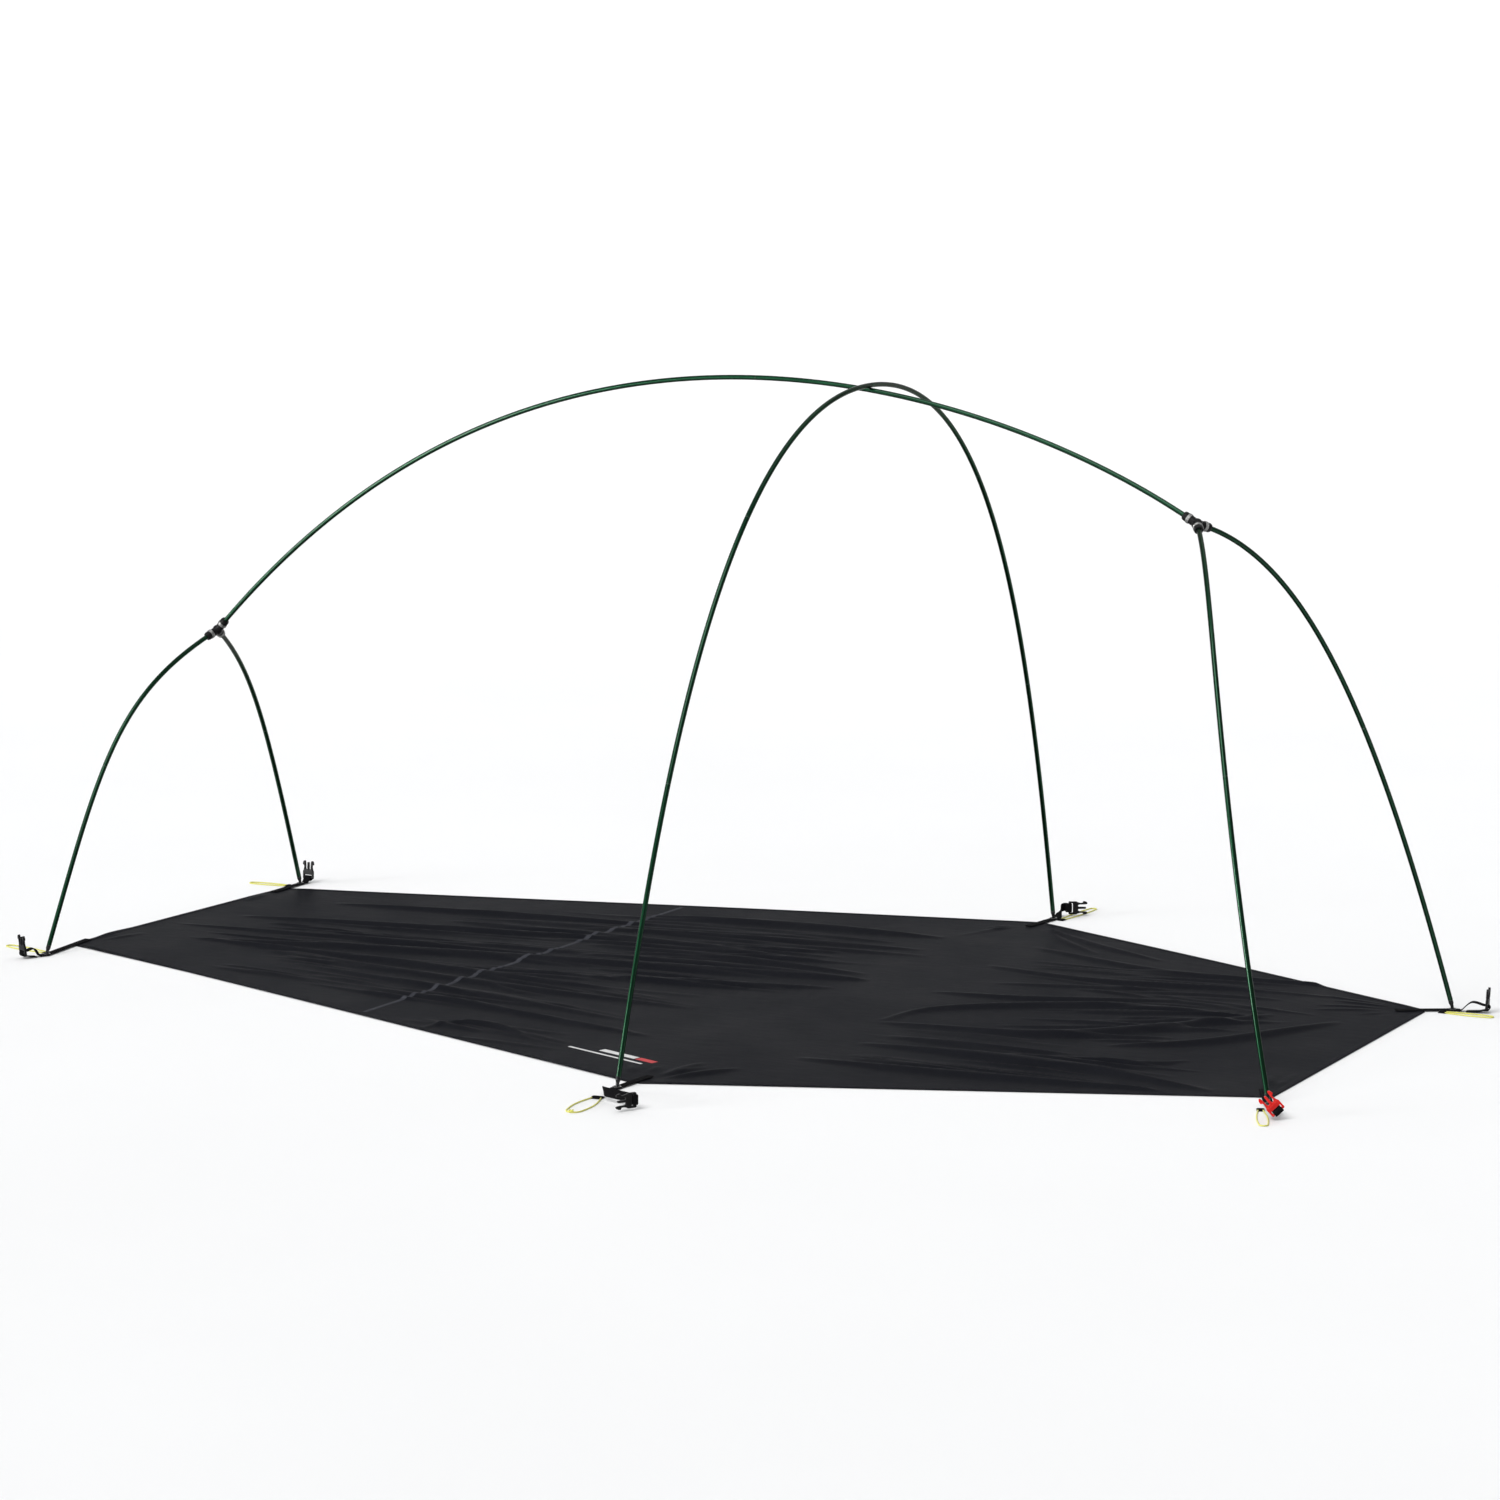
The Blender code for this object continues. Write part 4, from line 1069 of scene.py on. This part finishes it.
def make_tip(name, node, route, at, body, mats):
    inside = POLE_R - 0.0010
    shoulder = at + TIP_LENGTH - TIP_NOSE_LENGTH
    end = at + TIP_LENGTH
    profile = [
        (at - 0.0040, inside, 0.0), (at + GAP, inside, 0.0), (at + GAP, POLE_R - 0.0002, 0.4),
        (at + GAP + 0.0002, POLE_R, 0.5), (at + 0.0014, POLE_R, 0.0),
        (at + 0.0017, POLE_R - 0.0003, 0.0), (at + 0.0023, POLE_R - 0.0003, 0.0),
        (at + 0.0026, POLE_R, 0.2), (shoulder - 0.0040, POLE_R, 0.3),
    ]
    for t in np.linspace(0.0, 1.0, 10)[1:]:
        ease = t * t * (3 - 2 * t)
        radius = POLE_R + (TIP_NOSE_R + 0.0004 - POLE_R) * ease
        profile.append((shoulder - 0.0040 + 0.0050 * t, radius, 0.15 + 0.2 * t))
    profile += [(end - 0.0040, TIP_NOSE_R + 0.0001, 0.6), (end - 0.0016, TIP_NOSE_R, 0.9)]
    for a in np.linspace(0.0, 1.35, 7)[1:]:
        profile.append((end - 0.0016 + 0.0016 * math.sin(a), TIP_NOSE_R * (0.25 + 0.75 * math.cos(a)), 1.0))
    piece = turned_along(name, route, [(s, r) for s, r, _ in profile], mats["tip"], 32,
                         [w for _, _, w in profile], body=body, slot="tip_metal")
    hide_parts(node)


def make_hub(end, routes, mats):
    """One moulding: three sleeves run smoothly into a round body."""
    name = f"{end}_hub_moulding"
    centre = routes[0].points[0]
    parts = []
    ball = bmesh.new()
    bmesh.ops.create_icosphere(ball, subdivisions=4, radius=HUB_BODY_R * 0.98,
                               matrix=Matrix.Translation(Vector(centre)))
    mesh = bpy.data.meshes.new("ball")
    ball.to_mesh(mesh)
    ball.free()
    target = bpy.data.objects.new(name, mesh)
    SCENE.collection.objects.link(target)
    for route in routes:
        profile = [
            (0.0, HUB_SLEEVE_R * 0.98), (COLLAR_START - 0.0002, HUB_SLEEVE_R),
            (COLLAR_END + 0.0003, HUB_SLEEVE_R), (COLLAR_END + 0.0006, HUB_SLEEVE_R + 0.0004),
            (HUB_SLEEVE_END - 0.0020, HUB_SLEEVE_R + 0.0003),
            (HUB_SLEEVE_END - 0.0016, HUB_SLEEVE_R - 0.0003), (HUB_SLEEVE_END, HUB_SLEEVE_R - 0.0005),
        ]
        parts.append(turned_along("sleeve", route, profile, mats["black"], 40))
    for part in parts:
        add_boolean(target, "UNION", part)
    voxels = target.modifiers.new("voxels", "REMESH")
    voxels.mode = "VOXEL"
    voxels.voxel_size = 0.00036
    soften = target.modifiers.new("soften", "SMOOTH")
    soften.factor = 0.5
    soften.iterations = 5
    apply_modifiers(target)
    remove(parts)
    for route in routes:
        bore = [(HUB_BORE_START, POLE_R + GAP), (HUB_SLEEVE_END + 0.004, POLE_R + GAP)]
        cut(target, turned_along("bore", route, bore, mats["black"], 40))
    target.data.materials.clear()
    target.data.materials.append(mats["black"])
    target.data.shade_smooth()
    target.data.set_sharp_from_angle(angle=math.radians(60))
    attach(target, "pole_frame")
    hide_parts(f"{end}_hub")


def make_collar(name, route, mats):
    inner = HUB_SLEEVE_R + GAP
    edge = 0.0004
    profile = [
        (COLLAR_START, inner), (COLLAR_START, COLLAR_R - edge), (COLLAR_START + edge, COLLAR_R),
        (COLLAR_START + 0.0020, COLLAR_R + 0.0001), (COLLAR_START + 0.0024, COLLAR_R - 0.0003),
        (COLLAR_START + 0.0030, COLLAR_R - 0.0003), (COLLAR_START + 0.0034, COLLAR_R + 0.0001),
        (COLLAR_END - edge, COLLAR_R), (COLLAR_END, COLLAR_R - edge), (COLLAR_END, inner),
    ]
    return turned_along(name, route, profile, mats["collar"], 48, body="pole_frame", slot="collar_grey")


def make_frame(mats):
    start = HUB_BORE_START + GAP
    spine = ROUTES["spine"]
    make_pole("spine", spine, start, spine.length - start, 5, "pole_frame", mats)
    for end in ("low", "high"):
        for side in ("front", "back"):
            route = ROUTES[f"{end}_{side}"]
            tip_at = height_crossing(route, TIP_END_HEIGHT) - TIP_LENGTH
            make_pole(f"{end}_leg_{side}", route, start, tip_at, 2, "pole_frame", mats)
            make_tip(f"{end}_leg_{side}_foot", f"{end}_leg_{side}_tip", route, tip_at, "pole_frame", mats)
    for end, first in (("low", "spine"), ("high", "spine_from_high_hub")):
        into = [ROUTES[first], ROUTES[f"{end}_front"], ROUTES[f"{end}_back"]]
        make_hub(end, into, mats)
        band = make_collar(f"{end}_spine_band", into[0], mats)
        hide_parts(f"{end}_hub_collar")
        make_collar(f"{end}_front_leg_band", into[1], mats)
        make_collar(f"{end}_back_leg_band", into[2], mats)
    arch = ROUTES["arch"]
    front = ROUTES["mid_front"]
    inset = front.length - (height_crossing(front, TIP_END_HEIGHT) - TIP_LENGTH)
    make_pole("arch", arch, inset, arch.length - inset, 6, "arch", mats)
    for side in ("front", "back"):
        route = ROUTES[f"mid_{side}"]
        tip_at = height_crossing(route, TIP_END_HEIGHT) - TIP_LENGTH
        make_tip(f"arch_{side}_foot", f"arch_{side}_tip", route, tip_at, "arch", mats)
    for name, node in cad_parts.items():
        if name.endswith("shock_cord"):
            node.data.materials.clear()
            node.data.materials.append(mats["elastic"])


# ---------------------------------------------------------------- groundsheet
SHEET_Z = 0.0007            # middle of the fabric where it lies flat
SHEET_THICK = 0.0005
CORNER_CUT = 0.020
HEM_WIDTH = 0.011
HEM_RISE = 0.00055          # how far the hem stands above the single fabric
SEAM_X = -0.619
SEAM_TAPE_WIDTH = 0.009
SEAM_TAPE_RISE = 0.00042
HIGHEST_FOLD = 0.0094
FOLD_RISE = 1.25            # how much the folds stand up over the heights listed


def corner_cut_points(corner):
    """The two ends of the short cut across a corner, the right-hand one first, looking inward."""
    middle = np.array((*SHEET_CORNERS[corner], 0.0))
    side = np.cross(UP, LAYOUT[corner]["inward"]) * CORNER_CUT / 2
    return middle - side, middle + side


def polyline(points, shares):
    """Points at shares of the length of a polyline."""
    points = np.array(points)
    at = np.concatenate([[0.0], np.cumsum(np.linalg.norm(np.diff(points, axis=0), axis=1))])
    return np.array([np.interp(np.array(shares) * at[-1], at, points[:, k]) for k in range(3)]).T


LONG_FOLDS = (    # line over the ground, half width, height
    (((-1.300, -0.040), (-0.900, 0.005), (-0.550, 0.045)), 0.0090, 0.0044),
    (((-1.195, -0.130), (-0.630, 0.000), (-0.035, 0.120)), 0.0130, 0.0078),
    (((-1.135, -0.130), (-0.725, -0.135), (-0.330, -0.145)), 0.0110, 0.0062),
    (((-1.040, -0.160), (-0.555, -0.205), (-0.170, -0.205)), 0.0110, 0.0054),
    (((-0.930, -0.225), (-0.550, -0.280), (-0.215, -0.335)), 0.0100, 0.0048),
    (((-1.245, 0.070), (-0.905, 0.140), (-0.545, 0.215)), 0.0110, 0.0060),
    (((-0.905, 0.210), (-0.500, 0.225), (-0.155, 0.215)), 0.0120, 0.0068),
    (((-0.630, 0.415), (-0.360, 0.465), (-0.090, 0.495)), 0.0140, 0.0080),
    (((-0.675, 0.260), (-0.360, 0.335), (-0.070, 0.385)), 0.0100, 0.0052),
    (((-0.590, 0.150), (-0.300, 0.165), (-0.060, 0.160)), 0.0110, 0.0060),
    (((-0.560, 0.065), (-0.300, 0.100), (-0.040, 0.120)), 0.0130, 0.0078),
    (((-0.450, -0.080), (-0.200, -0.010), (-0.060, 0.040)), 0.0110, 0.0058),
    (((-0.435, -0.365), (-0.135, -0.415)), 0.0090, 0.0040),
    (((-0.725, -0.320), (-0.305, -0.385)), 0.0090, 0.0042),
    (((-1.170, 0.245), (-0.860, 0.300), (-0.575, 0.345)), 0.0110, 0.0058),
    (((-0.475, -0.540), (-0.450, -0.480), (-0.390, -0.465), (-0.290, -0.515)), 0.0070, 0.0056),
    (((0.120, -0.145), (0.165, -0.015), (0.375, 0.125), (0.575, 0.165)), 0.0110, 0.0064),
    (((0.125, -0.155), (0.375, -0.110), (0.525, 0.030), (0.640, 0.200)), 0.0130, 0.0080),
    (((0.505, -0.130), (0.630, -0.025), (0.750, 0.200)), 0.0110, 0.0064),
    (((0.080, 0.320), (0.280, 0.295), (0.560, 0.355)), 0.0110, 0.0052),
    (((0.080, 0.495), (0.320, 0.420), (0.515, 0.425)), 0.0100, 0.0044),
    (((0.095, 0.090), (0.260, 0.120), (0.475, 0.220)), 0.0100, 0.0052),
    (((0.170, -0.300), (0.365, -0.285), (0.550, -0.285), (0.765, -0.330)), 0.0130, 0.0074),
    (((0.135, -0.435), (0.370, -0.415), (0.700, -0.360)), 0.0110, 0.0060),
    (((0.185, -0.235), (0.355, -0.225), (0.485, -0.210)), 0.0100, 0.0050),
    (((0.445, -0.260), (0.605, -0.210), (0.655, -0.160)), 0.0090, 0.0042),
    (((0.435, 0.060), (0.630, 0.120)), 0.0090, 0.0042),
    (((0.030, 0.650), (0.170, 0.560), (0.320, 0.490)), 0.0080, 0.0034),
    (((0.025, 0.645), (0.110, 0.560), (0.200, 0.490)), 0.0070, 0.0030),
    (((0.015, -0.645), (0.030, -0.535)), 0.0080, 0.0034),
    (((0.030, -0.650), (0.095, -0.540)), 0.0080, 0.0034),
)


def small_folds():
    """Short, low folds at random that follow the long ones, and a few that fan out at each corner."""
    random = np.random.default_rng(7)
    made = []
    families = (    # where they start (x then y), their slope and its spread, how many, the furthest x
        ((-1.24, -0.35), (-0.16, 0.10), 0.12, 0.05, 60, -0.05),
        ((-0.95, -0.30), (0.10, 0.44), 0.16, 0.05, 40, -0.04),
        ((-1.05, -0.40), (-0.36, -0.14), -0.10, 0.06, 30, -0.12),
        ((0.12, 0.45), (-0.40, -0.16), 0.06, 0.08, 22, 0.72),
        ((0.20, 0.50), (-0.12, 0.12), 0.48, 0.12, 16, 0.72),
        ((0.12, 0.45), (0.14, 0.42), 0.12, 0.12, 22, 0.70),
        ((-0.55, -0.40), (-0.58, -0.46), -0.10, 0.12, 6, -0.20),
    )
    for (x0, x1), (y0, y1), slope, spread, count, furthest in families:
        for _ in range(count):
            start = np.array((random.uniform(x0, x1), random.uniform(y0, y1)))
            way = unit(np.array((1.0, slope + random.normal(0.0, spread))))
            end = start + way * min(random.uniform(0.10, 0.38), furthest - start[0])
            middle = (start + end) / 2 + np.array((0.0, random.normal(0.0, 0.004)))
            half_width, height = random.uniform(0.0045, 0.0085), random.uniform(0.0008, 0.0028)
            made.append(((start, middle, end), half_width, height))
    for corner in CORNERS:
        inward = LAYOUT[corner]["inward"]
        middle = np.array(SHEET_CORNERS[corner])
        for angle in random.uniform(-0.85, 0.85, 5):
            c, s = math.cos(angle), math.sin(angle)
            way = np.array((c * inward[0] - s * inward[1], s * inward[0] + c * inward[1]))
            start = middle + way * random.uniform(0.045, 0.065)
            end = middle + way * random.uniform(0.10, 0.20)
            made.append(((start, end), random.uniform(0.004, 0.007), random.uniform(0.0006, 0.0016)))
    return made


FOLDS = [*LONG_FOLDS, *small_folds()]


def sheet_height(xy):
    """How high the fabric's middle stands above its flat lie, at (x, y) rows."""
    total = np.zeros(len(xy))
    for points, half_width, height in FOLDS:
        line = smooth_through(points, per_span=16)
        run = line[-1] - line[0]
        length = np.linalg.norm(run)
        along = np.array((run / length, (-run[1] / length, run[0] / length)))
        local = (xy - line[0]) @ along.T
        path = (line - line[0]) @ along.T
        near = (local[:, 0] > 0.0) & (local[:, 0] < length)
        t = local[near, 0] / length
        lean = np.gradient(path[:, 1], path[:, 0])
        steep = np.interp(local[near, 0], path[:, 0], lean)
        across = (local[near, 1] - np.interp(local[near, 0], path[:, 0], path[:, 1])) / np.sqrt(1 + steep**2)
        width = half_width * (0.50 + 0.50 * np.sin(math.pi * t)) * np.where(across > 0.0, 0.75, 1.35)
        total[near] += FOLD_RISE * height * np.sin(math.pi * t) ** 0.7 * np.exp(-(across / width) ** 2)
    x, y = xy[:, 0], xy[:, 1]
    swell = np.sin(3.1 * x + 1.3 * y) * np.sin(4.7 * y - 1.9 * x + 0.6) + 0.6 * np.sin(7.3 * x - 2.2 * y)
    total += 0.0005 * (swell + 1.6)
    for corner in CORNERS:
        middle = np.array(SHEET_CORNERS[corner])
        inward = LAYOUT[corner]["inward"][:2]
        along = (xy - middle) @ inward
        across = np.abs((xy - middle) @ np.array((-inward[1], inward[0])))
        under = np.clip((along - STRAP_ON_SHEET) / 0.05, 0.0, 1.0)
        beside = np.clip((across - 0.010) / 0.03, 0.0, 1.0)
        total *= np.clip(np.maximum(under, beside), 0.0, 1.0)
    return HIGHEST_FOLD * np.tanh(total / HIGHEST_FOLD)


def make_sheet(mats):
    cuts = {c: corner_cut_points(c) for c in CORNERS}
    front = [cuts["low_front"][0], *cuts["mid_front"][::-1], cuts["high_front"][1]]
    back = [cuts["low_back"][1], *cuts["mid_back"], cuts["high_back"][0]]
    low = [*cuts["low_front"], *cuts["low_back"]]
    high = [*cuts["high_front"][::-1], *cuts["high_back"][::-1]]
    columns, rows = 381, 221
    u, v = np.linspace(0.0, 1.0, columns), np.linspace(0.0, 1.0, rows)
    bottom, top = polyline(front, u), polyline(back, u)
    start, end = polyline(low, v), polyline(high, v)
    uu, vv = u[:, None, None], v[None, :, None]
    grid = (1 - vv) * bottom[:, None] + vv * top[:, None] + (1 - uu) * start[None] + uu * end[None]
    grid -= (1 - uu) * (1 - vv) * bottom[0] + uu * (1 - vv) * bottom[-1]
    grid -= (1 - uu) * vv * top[0] + uu * vv * top[-1]
    points = grid.reshape(-1, 3)
    points[:, 2] = SHEET_Z + sheet_height(points[:, :2])
    faces, uvs = [], []
    for i in range(columns - 1):
        for j in range(rows - 1):
            face = (i * rows + j, (i + 1) * rows + j, (i + 1) * rows + j + 1, i * rows + j + 1)
            faces.append(face)
            uvs += [tuple(points[k, :2]) for k in face]
    piece = add_mesh("groundsheet_fabric", points, faces, mats["sheet"], uvs, sharp=180.0)
    thick = piece.modifiers.new("thickness", "SOLIDIFY")
    thick.thickness = SHEET_THICK
    thick.offset = 0.0
    apply_modifiers(piece)
    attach(piece, "groundsheet")
    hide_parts("groundsheet")
    outline = []
    for side in (front, high[1:3], back[::-1], low[1:3][::-1]):
        outline += list(side)
    return piece, np.array(outline)


def ribbon(name, line, inward, width, surface, rise):
    """A flat strip that lies on the fabric along a line; inward points from the line over it."""
    across = np.linspace(0.0, 1.0, 7)
    profile = rise * (1.0 - 0.75 * np.abs(2 * across - 1.0) ** 6)
    over = line[:, None] + inward[:, None] * (width * across)[None, :, None]
    heights = sheet_height(over[..., :2].reshape(-1, 2)).reshape(over.shape[:2])
    over[..., 2] = SHEET_Z + heights + SHEET_THICK / 2
    under = over[:, ::-1][:, 1:-1].copy()
    under[..., 2] -= SHEET_THICK * 0.9
    over[..., 2] += profile
    rings = list(np.concatenate([over, under], axis=1))
    steps = np.concatenate([[0.0], np.cumsum(np.linalg.norm(np.diff(line, axis=0), axis=1))])
    return swept(name, rings, steps, 2 * width, surface, body="groundsheet", slot="sheet_fabric", sharp=50.0)


def laid_on_sheet(line, rise):
    """A row of stitches for (point, normal) pairs that lie on the fabric, rise above it."""
    laid = line.copy()
    laid[:, 2] = SHEET_Z + sheet_height(laid[:, :2]) + SHEET_THICK / 2 + rise
    return [(p, UP) for p in laid]


PRINTED_BARS = (    # plain bars in place of a printed mark: name, start, end, width, surface
    ("long_bar", (-0.205, -0.540), (-0.048, -0.589), 0.0055, "print_white"),
    ("short_bar", (-0.150, -0.540), (-0.075, -0.5635), 0.0130, "print_white"),
    ("end_bar", (-0.072, -0.5645), (-0.036, -0.5755), 0.0130, "print_red"),
)


def hem_sides(outline):
    """Each straight side of the sheet as (points, inward directions), longer than a corner cut."""
    sides = []
    middle = np.array((-0.25, 0.0, 0.0))
    for a, b in zip(outline, np.vstack([outline[1:], outline[:1]])):
        length = np.linalg.norm(b - a)
        if length < CORNER_CUT * 2:
            continue
        along = (b - a) / length
        inward = np.cross(UP, along)
        inward *= math.copysign(1.0, inward @ (middle - a))
        points = a + along * np.linspace(0.0005, length - 0.0005, int(length / 0.006))[:, None]
        sides.append((points, np.repeat(inward[None], len(points), axis=0)))
    return sides


def make_sheet_details(piece, outline, mats):
    """Hems with their stitches, the taped seam, and plain printed bars."""
    details, rows = [], []
    for i, (line, inward) in enumerate(hem_sides(outline)):
        details.append(ribbon(f"hem_{i + 1}", line, inward, HEM_WIDTH, mats["sheet"], HEM_RISE))
        rows.append(laid_on_sheet(line + inward * (HEM_WIDTH - 0.0022), HEM_RISE - 0.00003)[1:-1])
    ends = [np.interp(SEAM_X, [SHEET_CORNERS[a][0], SHEET_CORNERS[b][0]],
                      [SHEET_CORNERS[a][1], SHEET_CORNERS[b][1]])
            for a, b in (("low_front", "mid_front"), ("low_back", "mid_back"))]
    y = np.arange(ends[0] + 0.014, ends[1] - 0.014, 0.003)
    line = np.stack([np.full(len(y), SEAM_X), y, np.zeros(len(y))], axis=1)
    sideways = np.repeat(np.array([[1.0, 0.0, 0.0]]), len(y), axis=0)
    details.append(ribbon("seam_tape", line, sideways, SEAM_TAPE_WIDTH, mats["tape"], SEAM_TAPE_RISE))
    for offset in (0.0018, SEAM_TAPE_WIDTH - 0.0018):
        rows.append(laid_on_sheet(line + sideways * offset, SEAM_TAPE_RISE + 0.00002))
    for name, start, end, width, surface in PRINTED_BARS:
        start, end = np.array((*start, 0.0)), np.array((*end, 0.0))
        length = np.linalg.norm(end - start)
        along = (end - start) / length
        line = start + along * np.linspace(0.0, length, max(8, int(length / 0.003)))[:, None]
        inward = np.repeat(np.cross(UP, along)[None], len(line), axis=0)
        details.append(ribbon(name, line, inward, width, mats[surface], 0.00012))
    sewing = stitches("hem_stitching", rows, mats["thread"], "groundsheet", "sheet_fabric",
                      length=0.0034, gap=0.0014, radius=0.00026)
    details.append(sewing)


# ---------------------------------------------------------------- studio
FLOOR_FRONT = 14.0          # how far the floor reaches towards the camera
FLOOR_BACK = 9.0            # and away from it, to where it starts to sweep up
FLOOR_HALF = 22.0           # half its width
SWEEP_R = 5.0
WALL_TOP = 16.0
FLOOR_DROP = 0.0001         # how far it lies under the object


def make_studio():
    """A pale floor that sweeps up far behind, and soft light from above and in front."""
    floor = Surface("studio_floor")
    floor.set(Roughness=0.85, Specular_IOR_Level=0.2)
    tone = floor.noise(floor.position(), 0.8, 3.0)
    floor.colour(floor.ramp(tone, (0.3, (0.86, 0.86, 0.86)), (0.7, (0.88, 0.88, 0.88))))
    profile = [(-FLOOR_FRONT, 0.0), (FLOOR_BACK, 0.0)]
    profile += [(FLOOR_BACK + SWEEP_R * math.sin(a), SWEEP_R * (1.0 - math.cos(a)))
                for a in np.linspace(0.1, math.pi / 2, 14)]
    profile.append((FLOOR_BACK + SWEEP_R, WALL_TOP))
    vertices = []
    c, s = math.cos(CAMERA_ROUND), math.sin(CAMERA_ROUND)
    for distance, height in profile:
        for across in (-FLOOR_HALF, FLOOR_HALF):
            x, y = across * c - distance * s, across * s + distance * c
            vertices.append((x, y, height - FLOOR_DROP))
    faces = [(2 * i, 2 * i + 1, 2 * i + 3, 2 * i + 2) for i in range(len(profile) - 1)]
    mesh = bpy.data.meshes.new("studio_floor")
    mesh.from_pydata(vertices, [], faces)
    mesh.shade_smooth()
    mesh.materials.append(floor.made)
    stage = bpy.data.objects.new("studio_floor", mesh)
    SCENE.collection.objects.link(stage)

    def lamp(name, towards, strength, softness):
        """Even soft light from one direction."""
        data = bpy.data.lights.new(name, "SUN")
        data.energy = strength
        data.angle = math.radians(softness)
        light = bpy.data.objects.new(name, data)
        light.rotation_euler = (-Vector(towards)).to_track_quat("-Z", "Y").to_euler()
        SCENE.collection.objects.link(light)

    lamp("key", (-0.10, -0.66, 0.74), 2.15, 38.0)
    lamp("top", (0.15, 0.30, 0.95), 0.7, 60.0)
    lamp("strip", (-0.66, -0.74, 0.10), 2.0, 14.0)
    world = bpy.data.worlds.new("studio_world")
    world.use_nodes = True
    sky = world.node_tree.nodes["Background"]
    sky.inputs["Color"].default_value = (0.92, 0.94, 0.97, 1.0)
    sky.inputs["Strength"].default_value = 0.26
    SCENE.world = world
    SCENE.view_settings.view_transform = "Standard"


make_camera()
MATS = make_materials()
make_peg_loops(MATS)
for each in CORNERS:
    make_strap(each, MATS)
    make_grommet(each, MATS)
make_buckles(MATS)
make_frame(MATS)
make_sheet_details(*make_sheet(MATS), MATS)
make_studio()
